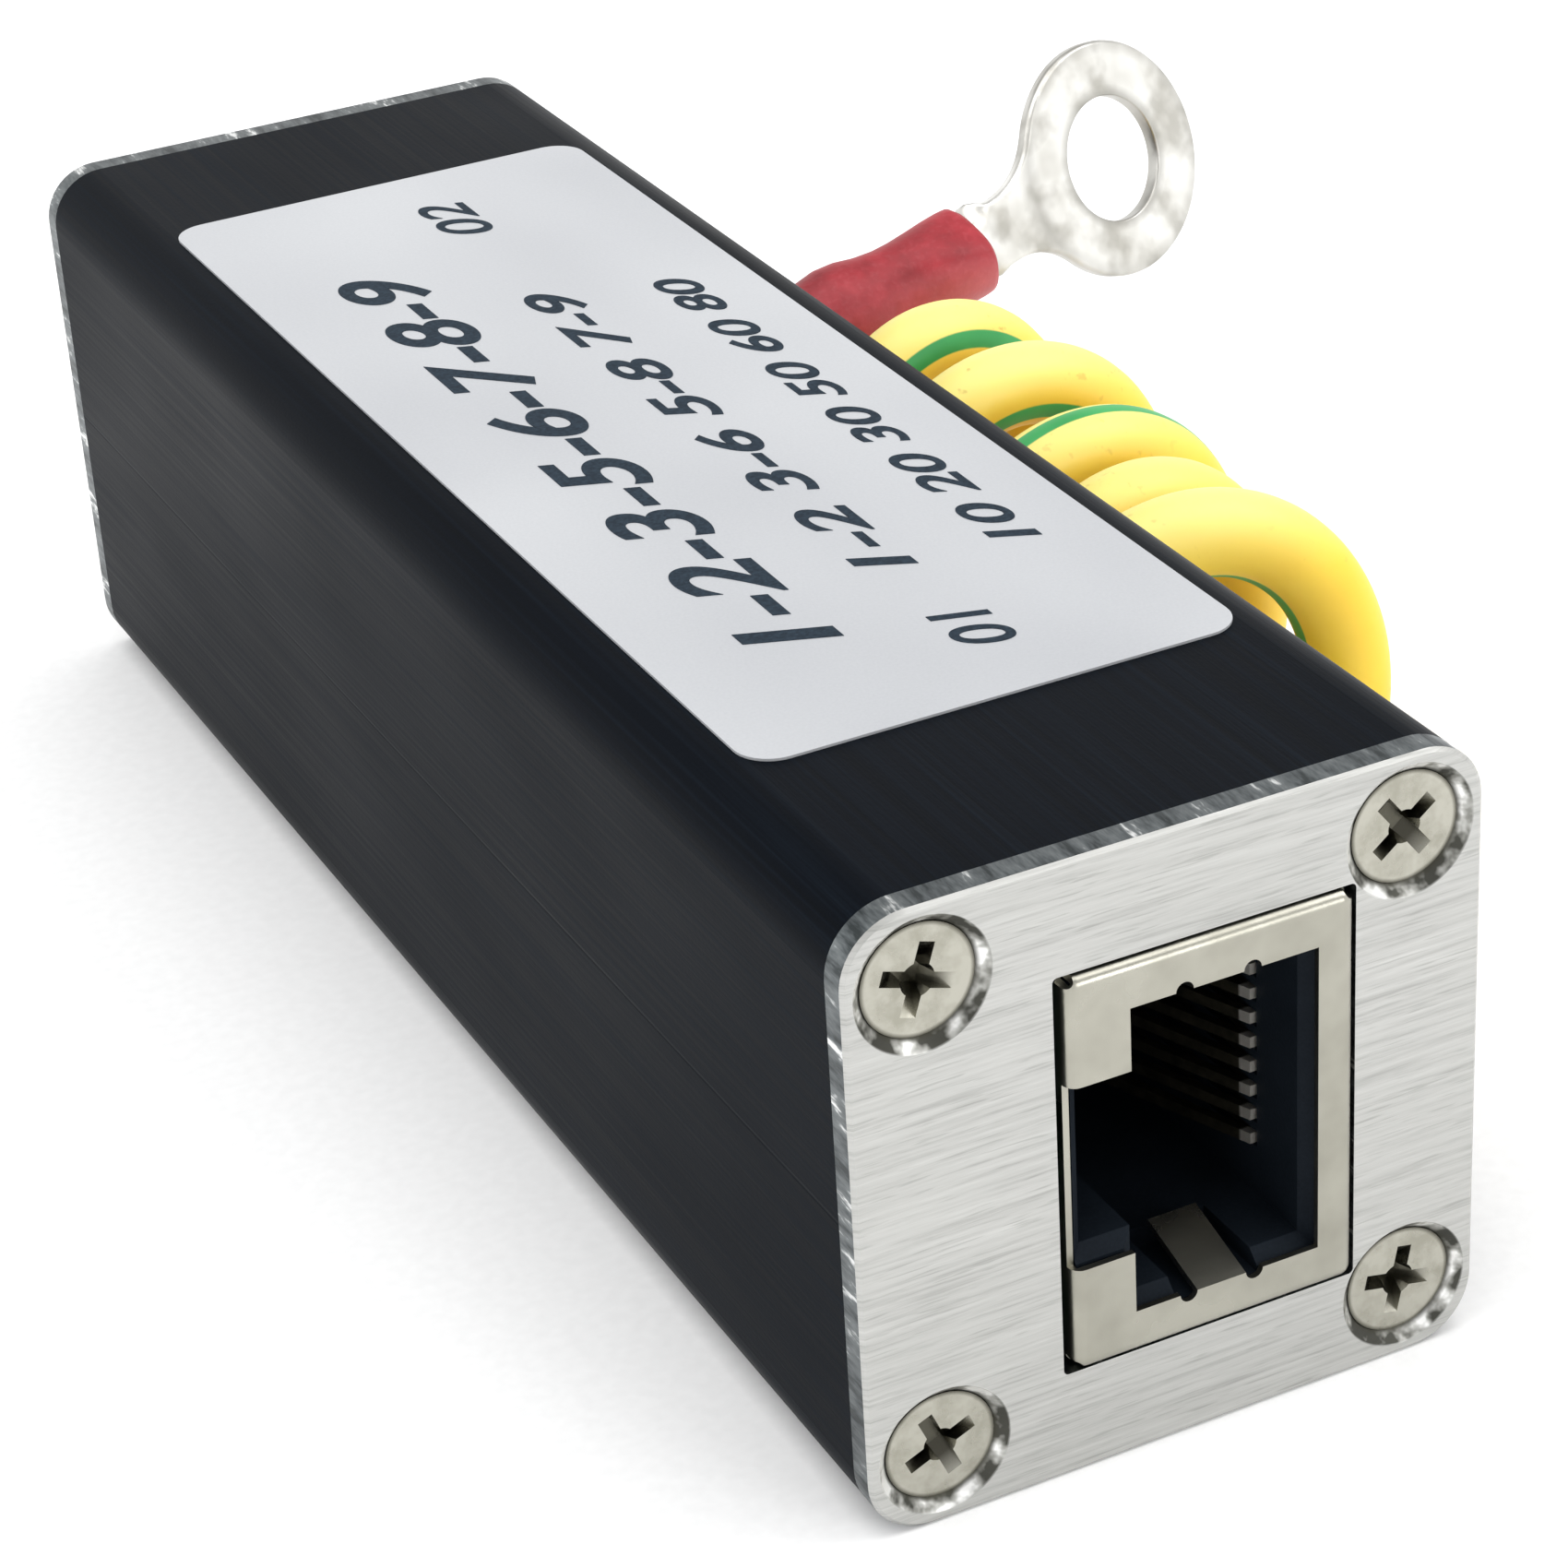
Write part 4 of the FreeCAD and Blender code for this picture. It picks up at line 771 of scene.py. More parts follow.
@dataclass(frozen=True)
class SolderMask(Finish):
    """Glass-epoxy laminate under green solder mask."""

    # The glass weave shows faintly through the mask.
    weave: float = 0.5

    def shader(self, tree: Tree) -> Node:
        """A faint weave under the mask.

        Args:
            tree: the material's nodes.

        Returns:
            The surface shader.
        """
        cloth = add_node(tree, "ShaderNodeTexBrick", {
            "Vector": pattern_space(tree, self.weave), "Scale": 1.0,
            "Color1": linear("#115c2c"), "Color2": linear("#0f5128"), "Mortar": linear("#1b6b38")})
        bump = add_node(tree, "ShaderNodeBump", {
            "Height": cloth.outputs["Fac"], "Distance": 0.01 * MM, "Strength": 0.3})
        return add_node(tree, "ShaderNodeBsdfPrincipled", {
            "Base Color": cloth, "Roughness": self.roughness, "IOR": self.ior, "Normal": bump})


@dataclass(frozen=True)
class StudioPaper(Finish):
    """Matt white background paper."""

    # Its tooth is coarser than the real one, and still barely visible.
    tooth_size: Size = 0.6

    def shader(self, tree: Tree) -> Node:
        """Near white with a barely visible tooth.

        Args:
            tree: the material's nodes.

        Returns:
            The surface shader.
        """
        tooth = add_node(tree, "ShaderNodeTexNoise", {
            "Vector": pattern_space(tree, self.tooth_size), "Scale": 1.0, "Detail": 2.0})
        colour = add_node(tree, "ShaderNodeValToRGB", {"Fac": tooth}, [(0.3, "#f3f3f3"), (0.7, "#f7f7f7")])
        return add_node(tree, "ShaderNodeBsdfPrincipled", {
            "Base Color": colour, "Roughness": self.roughness, "Specular IOR Level": 0.0})


class Stock(Enum):
    """Every finish on the object and in the studio: its name, roughness and refractive index."""

    # Black faces that mirror little in the photograph get an index below their material's.
    TUBE = BlackAnodising("black_anodised_aluminium", 0.3, 1.1)
    PLATE = BrushedAluminium("brushed_aluminium", 0.42)
    SCREW = ScrewPlating("nickel_plated_steel", 0.26)
    SHIELD = Plating("nickel_plated_brass_sheet", 0.3, clean="#acaa9f", dull="#9a988d", blotch=4.0)
    CONTACT = ContactSpring("gold_flashed_bronze", 0.42)
    SOLDER = Plating("bright_solder", 0.2, clean="#dadada", dull="#a5a5a5", blotch=0.8)
    TERMINAL = TinnedCopper("barrel_tinned_copper", 0.36)
    SOCKET = Moulding("moulded_polyester", 0.6, 1.15, dark="#11161c", light="#1a2027")
    CARRIER = Moulding("moulded_nylon", 0.5, dark="#15171a", light="#202226")
    EPOXY = Moulding("moulded_epoxy", 0.55, dark="#131313", light="#1e1e1e")
    RUBBER = Moulding("moulded_rubber", 0.7, dark="#16171a", light="#222327", grain=0.2)
    LABEL = SilverFilm("silver_polyester_film", 0.36)
    INK = TransferInk("transfer_ink", 0.6, 1.2)
    LEAD = StripedPvc("striped_pvc", 0.45)
    SLEEVE = Vinyl("red_vinyl", 0.5)
    STRANDS = CopperStrands("stranded_copper", 0.35)
    CERAMIC = GlazedCeramic("glazed_ceramic", 0.25)
    BOARD = SolderMask("solder_mask", 0.3)
    PAPER = StudioPaper("studio_paper", 0.9)


def dress_nodes(names: Iterable[str], stock: Stock) -> None:
    """Gives CAD nodes a finish.

    Args:
        names: the nodes.
        stock: the finish.
    """
    for name in names:
        node = frame["nodes"][name]
        node.data.materials.clear()
        node.data.materials.append(stock.value.material())
        LOG.info("dressed %s in %s", name, stock.value.name)


def soften_edges(name: str, width: float) -> None:
    """Rounds a CAD node's sharp edges, so that they catch the light.

    Args:
        name: the node.
        width: the rounding's width, in metres.
    """
    edge = frame["nodes"][name].modifiers.new("edge_rounding", "BEVEL")
    edge.width = width
    edge.segments = ROUNDING_STEPS
    edge.limit_method = "ANGLE"
    edge.angle_limit = math.radians(SHARP_DEGREES)
    edge.harden_normals = True


def mesh_object(
    name: str,
    points: Iterable[Sequence[float]],
    faces: Iterable[Sequence[int]],
    stock: Stock,
) -> bpy.types.Object:
    """Makes a smooth-shaded mesh object.

    Args:
        name: the object's name.
        points: its points, in metres.
        faces: point numbers of each face.
        stock: its finish.

    Returns:
        The new object, linked to the scene.
    """
    mesh = bpy.data.meshes.new(name)
    mesh.from_pydata([tuple(p) for p in points], [], [tuple(f) for f in faces])
    mesh.materials.append(stock.value.material())
    mesh.update()
    piece = bpy.data.objects.new(name, mesh)
    bpy.context.scene.collection.objects.link(piece)
    sculpt = bmesh.new()
    sculpt.from_mesh(mesh)
    bmesh.ops.recalc_face_normals(sculpt, faces=sculpt.faces)
    sculpt.to_mesh(mesh)
    sculpt.free()
    mesh.shade_smooth()
    return piece


@dataclass
class Housing:
    """The extruded tube, its two end plates and their screws."""

    def build(self) -> None:
        """Dresses the tube, plates and screws."""
        dress_nodes(["housing_tube"], Stock.TUBE)
        dress_nodes([end + "_end_plate" for end in ENDS], Stock.PLATE)
        dress_nodes([end + "_plate_screws" for end in ENDS], Stock.SCREW)


@dataclass
class Sockets:
    """The two shielded network sockets."""

    contacts: int = 8
    contact_rounding: float = 0.18 * MM
    sheet_rounding: float = 0.12 * MM

    def build(self) -> None:
        """Dresses each socket's shield, body, carrier and contacts."""
        for end in ENDS:
            dress_nodes([end + "_jack_shield"], Stock.SHIELD)
            dress_nodes([end + "_jack_body"], Stock.SOCKET)
            dress_nodes([end + "_jack_contact_carrier"], Stock.CARRIER)
            contacts = [f"{end}_jack_contact_{i + 1}" for i in range(self.contacts)]
            dress_nodes(contacts, Stock.CONTACT)
            for name in contacts:
                soften_edges(name, self.contact_rounding)
            soften_edges(end + "_jack_shield", self.sheet_rounding)


@dataclass
class ProtectionBoard:
    """The board inside with its gas tubes and surge diodes."""

    pairs: int = 4

    def build(self) -> None:
        """Dresses the board and what is soldered to it."""
        dress_nodes(["circuit_board"], Stock.BOARD)
        dress_nodes([f"gas_tube_{i + 1}" for i in range(self.pairs)], Stock.CERAMIC)
        dress_nodes([f"surge_diode_{i + 1}" for i in range(self.pairs)], Stock.EPOXY)
        dress_nodes(["earth_pad_solder"], Stock.SOLDER)
        dress_nodes(["earth_lead_inner"], Stock.LEAD)
        dress_nodes(["earth_lead_inner_core"], Stock.STRANDS)


@dataclass(frozen=True)
class PrintLine:
    """One line of print: what it says, where it starts and how large it is."""

    name: str
    words: str
    start_y: float
    base_x: float
    cap_height: float
    length: float
    # How much bolder than the plain face, as a share of the type's size.
    weight: float = 0.018


@dataclass
class FaceLabel:
    """The silver label and the plain numbers printed on it."""

    ink_thickness: float = 0.02 * MM
    slant: float = 0.28
    cap_share: float = 0.7
    lines: tuple[PrintLine, ...] = (
        PrintLine("print_pin_numbers", "1-2-3-5-6-7-8-9", -22.9 * MM, -2.85 * MM, 3.35 * MM, 42.3 * MM),
        PrintLine("print_pair_numbers", "1-2 3-6 5-8 7-9", -19.1 * MM, 2.3 * MM, 2.1 * MM, 32.6 * MM),
        PrintLine("print_scale_numbers", "10 20 30 50 60 80", -19.5 * MM, 7.4 * MM, 1.75 * MM, 31.3 * MM),
        PrintLine("print_line_end", "01", -26.4 * MM, 2.6 * MM, 2.2 * MM, 3.2 * MM, 0.008),
        PrintLine("print_equipment_end", "02", 21.6 * MM, 2.6 * MM, 2.2 * MM, 4.4 * MM, 0.008),
    )

    def build(self) -> None:
        """Dresses the label and prints its lines."""
        dress_nodes(["face_label"], Stock.LABEL)
        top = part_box("face_label")[1].z
        for line in self.lines:
            self.print_line(line, top)

    def print_line(self, line: PrintLine, top: float) -> None:
        """Sets one line of print as a thin layer of ink.

        Args:
            line: what to print, and where.
            top: the height of the label's face.
        """
        text = bpy.data.curves.new(line.name, "FONT")
        text.body = line.words
        text.size = line.cap_height / self.cap_share
        text.shear = self.slant
        text.offset = line.weight * text.size
        text.extrude = self.ink_thickness / 2
        setting = bpy.data.objects.new(line.name + "_type", text)
        bpy.context.scene.collection.objects.link(setting)
        bpy.context.view_layer.update()
        shaped = setting.evaluated_get(bpy.context.evaluated_depsgraph_get())
        mesh = bpy.data.meshes.new_from_object(shaped)
        bpy.data.objects.remove(setting)
        left = min(v.co.x for v in mesh.vertices)
        right = max(v.co.x for v in mesh.vertices)
        stretch = Matrix.Diagonal((line.length / (right - left), 1, 1, 1))
        place = Matrix.Translation((line.base_x, line.start_y, top + self.ink_thickness / 2))
        turn = Matrix.Rotation(math.radians(90), 4, "Z")
        mesh.transform(place @ turn @ stretch @ Matrix.Translation((-left, 0, 0)))
        mesh.materials.clear()
        mesh.materials.append(Stock.INK.value.material())
        piece = bpy.data.objects.new(line.name, mesh)
        bpy.context.scene.collection.objects.link(piece)
        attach(piece, BODY)
        LOG.info("printed %s", line.name)


@dataclass(frozen=True)
class CoilTurn:
    """How one turn of the coil lies: where its top is, and how it leans and spreads."""

    top_y: float
    lean: float
    middle_x: float
    half_width: float
    half_height: float


@dataclass
class EarthLead:
    """The striped earth lead: out of the grommet, five loose turns, up to the terminal."""

    # The coil stands on the floor. Its middle line is a smooth curve that cuts its control
    # points' corners, and spline_pull moves them out by as much. The stripe's angles are
    # taken round coil_x and the half height.
    radius: float = 1.9 * MM
    exit: tuple[float, float, float] = (13.2 * MM, -8.0 * MM, 15.2 * MM)
    straight_out: tuple[float, float, float] = (1.3 * MM, 0.0, 0.1 * MM)
    coil_x: float = 21.4 * MM
    floor_gap: float = 0.02 * MM
    half_height: float = 7.4 * MM
    turns: tuple[CoilTurn, ...] = (
        CoilTurn(-8.0 * MM, -1.05 * MM, 21.0 * MM, 6.9 * MM, 7.5 * MM),
        CoilTurn(-3.1 * MM, 0.7 * MM, 21.0 * MM, 6.0 * MM, 7.2 * MM),
        CoilTurn(2.55 * MM, 0.5 * MM, 21.6 * MM, 6.6 * MM, 7.3 * MM),
        CoilTurn(9.6 * MM, 0.3 * MM, 22.0 * MM, 7.0 * MM, 7.55 * MM),
        CoilTurn(16.0 * MM, 1.05 * MM, 21.6 * MM, 6.2 * MM, 7.5 * MM),
    )
    # Each turn leans evenly between these angles, over its top, and joins the next below.
    seen_degrees: tuple[float, float] = (150.0, -50.0)
    start_degrees: float = 112.0
    end_degrees: float = -140.0
    step_degrees: float = 20.0
    spline_pull: float = 1.0115
    tail: tuple[tuple[float, float, float], ...] = (
        (14.9 * MM, 20.8 * MM, 7.2 * MM),
        (14.5 * MM, 22.3 * MM, 11.6 * MM),
        (16.04 * MM, 23.39 * MM, 14.41 * MM),
        (20.9 * MM, 23.95 * MM, 15.48 * MM),
    )
    sides: int = 32
    # Turns past the first top, and the stripe's angle from the coil's outer side there.
    stripe_turns: tuple[tuple[float, float], ...] = (
        (-0.3, 140.0), (0.0, 142.0), (0.12, 155.0), (0.3, 182.0), (0.8, 220.0), (1.2, 240.0),
        (1.85, 361.0), (2.2, 361.0), (2.85, 472.0), (3.15, 474.0), (3.85, 430.0), (4.2, 430.0),
        (5.0, 400.0))

    def turn_y(self, degrees: float) -> float:
        """The middle line's place along the coil.

        Args:
            degrees: the angle gone back through from the first top, 90, downwards.

        Returns:
            Y in metres.
        """
        angles, places = [], []
        for k, turn in enumerate(self.turns):
            for seen in self.seen_degrees:
                angles.append(360.0 * k + 90.0 - seen)
                places.append(turn.top_y + turn.lean * math.radians(90.0 - seen))
        gone = 90.0 - degrees
        if gone > angles[-1]:
            return places[-1] + self.turns[-1].lean * math.radians(gone - angles[-1])
        return float(np.interp(gone, angles, places))

    def coil_points(self) -> Points:
        """Sets control points along the turns.

        Returns:
            The points, from the front of the coil to its rear.
        """
        whole = self.start_degrees - self.end_degrees + 360.0 * (len(self.turns) - 1)
        count = round(whole / self.step_degrees)
        sizes = [(turn.middle_x, turn.half_width, turn.half_height) for turn in self.turns]
        points = []
        for i in range(count + 1):
            degrees = self.start_degrees - i * whole / count
            gone = (90.0 - degrees) / 360.0
            middle, wide, high = (
                float(np.interp(gone, range(len(sizes)), column)) for column in zip(*sizes))
            angle = math.radians(degrees)
            points.append(Vector((
                middle + wide * self.spline_pull * math.cos(angle), self.turn_y(degrees),
                self.radius + self.floor_gap + high * (1 + self.spline_pull * math.sin(angle)))))
        return points

    def route(self) -> Points:
        """Sets control points along the whole lead.

        Returns:
            The points, from the grommet to the sleeve.
        """
        start = Vector(self.exit)
        out = start + Vector(self.straight_out)
        return [start, out] + self.coil_points() + [Vector(p) for p in self.tail]

    def line(self) -> Points:
        """Draws a smooth spline along the route.

        Returns:
            Points along it.
        """
        route = self.route()
        curve = bpy.data.curves.new("earth_lead_route", "CURVE")
        curve.dimensions = "3D"
        curve.resolution_u = 6
        spline = curve.splines.new("NURBS")
        spline.points.add(len(route) - 1)
        for point, place in zip(spline.points, route):
            point.co = (place.x, place.y, place.z, 1.0)
        spline.order_u = 3
        spline.use_endpoint_u = True
        guide = bpy.data.objects.new("earth_lead_route", curve)
        bpy.context.scene.collection.objects.link(guide)
        bpy.context.view_layer.update()
        shaped = guide.evaluated_get(bpy.context.evaluated_depsgraph_get())
        mesh = bpy.data.meshes.new_from_object(shaped)
        points = [v.co.copy() for v in mesh.vertices]
        bpy.data.objects.remove(guide)
        bpy.data.meshes.remove(mesh)
        return points

    def stripe_side(self, place: Vector, heading: Vector, gone: float) -> Vector:
        """The direction from the lead's middle to its stripe.

        Args:
            place: a point of the middle line.
            heading: the line's direction there.
            gone: how many turns of the coil the point is past the first top.

        Returns:
            A unit vector square to the line.
        """
        outward = Vector((place.x - self.coil_x, 0.0, place.z - self.radius - self.half_height))
        outward = (outward - heading * outward.dot(heading)).normalized()
        angle = math.radians(float(np.interp(gone, *zip(*self.stripe_turns))))
        return outward * math.cos(angle) + heading.cross(outward) * math.sin(angle)

    def tube(self, line: Points) -> bpy.types.Object:
        """Builds the lead round its line, with the way round from the stripe as a UV map.

        Args:
            line: the points of the middle line.

        Returns:
            The lead.
        """
        points, faces = [], []
        gone = (90.0 - self.start_degrees) / 360.0
        angle = None
        for i, place in enumerate(line):
            heading = (line[min(i + 1, len(line) - 1)] - line[max(i - 1, 0)]).normalized()
            new = math.atan2(place.z - self.radius - self.half_height, place.x - self.coil_x)
            if angle is not None:
                gone += ((angle - new + math.pi) % (2 * math.pi) - math.pi) / (2 * math.pi)
            angle = new
            side = self.stripe_side(place, heading, gone)
            up = heading.cross(side)
            for j in range(self.sides):
                round_it = 2 * math.pi * (j / self.sides - 0.5)
                points.append(place + (side * math.cos(round_it) + up * math.sin(round_it)) * self.radius)
        for i in range(len(line) - 1):
            for j in range(self.sides):
                a, b = i * self.sides + j, i * self.sides + (j + 1) % self.sides
                faces.append((a, b, b + self.sides, a + self.sides))
        # Both ends are closed.
        faces.append(tuple(range(self.sides)))
        faces.append(tuple(range(len(points) - self.sides, len(points))))
        lead = mesh_object("earth_lead", points, faces, Stock.LEAD)
        layer = lead.data.uv_layers.new(name=STRIPE_MAP)
        for face in lead.data.polygons:
            columns = [v % self.sides for v in face.vertices]
            # A face that closes the circle ends at a share of one, not at nought.
            wraps = {0, self.sides - 1} <= set(columns) and len(columns) == 4
            for loop, vertex, column in zip(face.loop_indices, face.vertices, columns):
                share = 1.0 if wraps and column == 0 else column / self.sides
                layer.data[loop].uv = (vertex // self.sides / len(line), share)
        return lead

    def build(self) -> None:
        line = self.line()
        lead = self.tube(line)
        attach(lead, BODY)
        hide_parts("earth_lead_run", "earth_lead_coil", "earth_lead_tail")
        dress_nodes(["lead_grommet"], Stock.RUBBER)
        dress_nodes(["earth_lead_core_end"], Stock.STRANDS)
        sleeve = TerminalSleeve().build()
        terminal = RingTerminal().build()


@dataclass
class TerminalPose:
    """Where the ring terminal is held, from the stud hole's mount and the tongue's lie."""

    tongue: tuple[float, float, float] = (0.93, 0.34, 0.14)
    bend_degrees: float = 14.0
    bend_to_ring: float = 8.9 * MM
    # The flat part's middle, normal and two axes; then the barrel's bend, axis and height.
    centre: Vector = field(init=False)
    normal: Vector = field(init=False)
    along: Vector = field(init=False)
    wide: Vector = field(init=False)
    bend: Vector = field(init=False)
    axis: Vector = field(init=False)
    tall: Vector = field(init=False)

    def __post_init__(self) -> None:
        """Works out the places and axes."""
        mount = stud_hole()
        self.centre = Vector(mount["pos_m"])
        self.normal = Vector(mount["axis"]).normalized()
        along = Vector(self.tongue)
        self.along = (along - self.normal * along.dot(self.normal)).normalized()
        self.wide = self.normal.cross(self.along)
        bend = math.radians(self.bend_degrees)
        self.axis = (self.along * math.cos(bend) + self.normal * math.sin(bend)).normalized()
        self.tall = self.axis.cross(self.wide)
        self.bend = self.centre - self.along * self.bend_to_ring


@dataclass
class TerminalSleeve:
    """The red insulating sleeve, squeezed by the crimping tool."""

    length: float = 10.8 * MM
    end_to_bend: float = 1.4 * MM
    bore: float = 1.5 * MM
    mouth: float = 1.95 * MM
    mouth_depth: float = 3.0 * MM
    rounding: float = 0.3 * MM
    sides: int = 48
    # Share of the length, half width, half height and how far off the pressed flat is, in
    # millimetres. A flat further off than the sleeve is wide presses nothing.
    stations: tuple[tuple[float, float, float, float], ...] = (
        (0.0, 2.42, 2.38, 9.0), (0.1, 2.6, 2.42, 9.0), (0.25, 2.8, 2.4, 9.0), (0.35, 2.7, 2.25, 6.0),
        (0.45, 2.42, 2.05, 4.0), (0.55, 2.26, 2.05, 3.2), (0.65, 2.22, 2.2, 2.8), (0.75, 2.26, 2.4, 2.5),
        (0.85, 2.32, 2.55, 2.2), (0.93, 2.34, 2.6, 1.95), (1.0, 2.3, 2.55, 1.8))
    flat_degrees: float = 39.0
    flat_power: float = 9.0
    unpressed: float = 9.0
    rings: int = 48

    def sections(self) -> list[tuple[float, float, float, float]]:
        """Works out the sleeve's cross sections, from the mouth's floor round to the far end.

        Returns:
            For each its place along the sleeve, half width and half height, in metres, and
            how far off the flat is, in millimetres.
        """
        shares, wides, talls, flats = zip(*self.stations)
        sections = [
            (self.mouth_depth, self.bore, self.bore, self.unpressed),
            (self.mouth_depth, self.mouth, self.mouth, self.unpressed),
            (0.0, self.mouth, self.mouth, self.unpressed)]
        for i in range(self.rings + 1):
            share = i / self.rings
            along = share * self.length
            edge = min(along, self.length - along)
            cut = 0.0
            if edge < self.rounding:
                cut = self.rounding - math.sqrt(self.rounding ** 2 - (self.rounding - edge) ** 2)
            wide = float(np.interp(share, shares, wides)) * MM - cut
            tall = float(np.interp(share, shares, talls)) * MM - cut
            sections.append((along, wide, tall, float(np.interp(share, shares, flats))))
        sections.append((self.length, self.bore, self.bore, self.unpressed))
        return sections

    def build(self) -> bpy.types.Object:
        """Builds the sleeve.

        Returns:
            The sleeve.
        """
        pose = TerminalPose()
        start = pose.bend - pose.axis * (self.end_to_bend + self.length)
        sections = self.sections()
        points, faces = [], []
        for along, wide, tall, flat in sections:
            for j in range(self.sides):
                angle = 2 * math.pi * j / self.sides
                oval = 1 / math.hypot(math.cos(angle) / wide, math.sin(angle) / tall)
                towards = max(math.cos(angle - math.radians(self.flat_degrees)), 0.0)
                pressed = (1 + (oval * towards / (flat * MM)) ** self.flat_power) ** (-1 / self.flat_power)
                spoke = pose.wide * math.cos(angle) + pose.tall * math.sin(angle)
                points.append(start + pose.axis * along + spoke * (oval * pressed))
        for i in range(len(sections)):
            here, there = i * self.sides, (i + 1) % len(sections) * self.sides
            for j in range(self.sides):
                side = (j + 1) % self.sides
                faces.append((here + j, here + side, there + side, there + j))
        sleeve = mesh_object("vinyl_sleeve", points, faces, Stock.SLEEVE)
        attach(sleeve, BODY)
        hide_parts("terminal_sleeve")
        LOG.info("built vinyl_sleeve")
        return sleeve


@dataclass
class RingTerminal:
    """The terminal: one piece of sheet, rolled to a barrel and opened to a flat ring."""

    ring_radius: float = 5.88 * MM
    hole_radius: float = 3.12 * MM
    half_sheet: float = 0.4 * MM
    edge_rounding: float = 0.26 * MM
    hole_rounding: float = 0.12 * MM
    neck_half: float = 1.7 * MM
    flare_radius: float = 4.2 * MM
    neck_end: float = 8.7 * MM
    barrel_middle: float = 1.08 * MM
    barrel_inside: float = 3.4 * MM
    barrel_wall: float = 0.26 * MM
    curl_degrees: float = 325.0
    arc_points: int = 72
    flare_points: int = 12
    neck_points: int = 17
    flat_rings: int = 6
    round_rings: int = 4
    sweep_steps: int = 18
    # The sheet is fully rolled over this share of the barrel's length inside the sleeve.
    rolled_share: float = 0.85
    # The neck bends over this share of the way from its end to the barrel's.
    bend_share: float = 1 / 3
    pose: TerminalPose = field(default_factory=TerminalPose)
    points: Points = field(default_factory=list)
    faces: list[tuple[int, ...]] = field(default_factory=list)

    def outline(self) -> tuple[Points, int]:
        """The flat part's outline, inset by the edge's rounding, from the neck's one side.

        Returns:
            Points as distance towards the sleeve and distance across, and how many there
            are before those on the neck's end.
        """
        r, n, f, e = self.ring_radius, self.neck_half, self.flare_radius, self.edge_rounding
        flare_x = math.sqrt((r + f) ** 2 - (n + f) ** 2)
        meet = math.atan2(n + f, flare_x)
        side = [Vector((self.neck_end, n - e))]
        for i in range(self.flare_points + 1):
            turn = -math.pi / 2 - (math.pi / 2 - meet) * i / self.flare_points
            side.append(Vector((flare_x + (f + e) * math.cos(turn), n + f + (f + e) * math.sin(turn))))
        ring = []
        for i in range(1, self.arc_points):
            turn = meet + (2 * math.pi - 2 * meet) * i / self.arc_points
            ring.append(Vector(((r - e) * math.cos(turn), (r - e) * math.sin(turn))))
        mirrored = [Vector((p.x, -p.y)) for p in reversed(side)]
        end = [Vector((self.neck_end, (n - e) * (-1 + 2 * i / (self.neck_points - 1))))
               for i in range(1, self.neck_points - 1)]
        return side + ring + mirrored + end, len(side + ring + mirrored)

    def section(self, p: Vector, outward: Vector, on_end: bool) -> list[int]:
        """Adds the points of a section through the sheet: over its top, edge and underside.

        Args:
            p: the outline's point that the section reaches.
            outward: the direction of the edge's rounding there.
            on_end: whether it is on the neck's end, where the edge is square.

        Returns:
            The points' numbers, from the hole's wall and back to it.
        """
        e, h, t = self.edge_rounding, self.hole_rounding, self.half_sheet
        quarter = [math.pi / 2 * k / self.round_rings for k in range(self.round_rings + 1)]
        inwards = -p.normalized()
        inner = p.normalized() * (self.hole_radius + h)
        hole = [(inner + inwards * (h * math.sin(a)), t - h * (1 - math.cos(a))) for a in quarter]
        flat = [(inner.lerp(p, k / self.flat_rings), t) for k in range(1, self.flat_rings + 1)]
        edge = [(p + outward * (e * math.sin(a)), t - e * (1 - math.cos(a))) for a in quarter]
        upper = hole[::-1] + flat + ([] if on_end else edge[1:])
        lower = [(q, -z) for q, z in reversed(upper if on_end else upper[:-1])]
        pose = self.pose
        first = len(self.points)
        for q, z in upper + lower:
            self.points.append(pose.centre - pose.along * q.x + pose.wide * q.y + pose.normal * z)
        return list(range(first, len(self.points)))

    def join(self, a: list[int], b: list[int], rounded: bool) -> None:
        """Joins two neighbouring sections by faces.

        Args:
            a: the points of one.
            b: the points of the other.
            rounded: whether both have a rounded edge; the neck's end stays open.
        """
        top = self.flat_rings + self.round_rings
        spans = [slice(0, top + 1), slice(top, -top), slice(-top - 1, None)]
        if not rounded:
            del spans[1]
        for span in spans:
            one, other = a[span], b[span]
            for k in range(len(one) - 1):
                self.faces.append((one[k], other[k], other[k + 1], one[k + 1]))
        self.faces.append((a[-1], b[-1], b[0], a[0]))

    def build(self) -> bpy.types.Object:
        """Builds the terminal.

        Returns:
            The terminal.
        """
        outline, before_end = self.outline()
        count = len(outline)
        sections = []
        for i, p in enumerate(outline):
            chord = outline[(i + 1) % count] - outline[i - 1]
            outward = Vector((chord.y, -chord.x)).normalized()
            if i in (0, before_end - 1):
                outward = Vector((0.0, math.copysign(1.0, p.y)))
            sections.append(self.section(p, outward, i >= before_end))
        for i in range(count):
            j = (i + 1) % count
            self.join(sections[i], sections[j], i < before_end and j < before_end)
        top = self.flat_rings + self.round_rings
        first, last = sections[0], sections[before_end - 1]
        end = sections[before_end - 1:] + [first]
        loop = [s[top] for s in end] + first[top + 1:-1 - top]
        loop += [s[-1 - top] for s in reversed(end)] + last[top + 1:-1 - top][::-1]
        self.sweep(loop)
        terminal = mesh_object("ring_terminal_sheet", self.points, self.faces, Stock.TERMINAL)
        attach(terminal, BODY)
        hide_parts("ring_terminal")
        LOG.info("built ring_terminal_sheet")
        return terminal

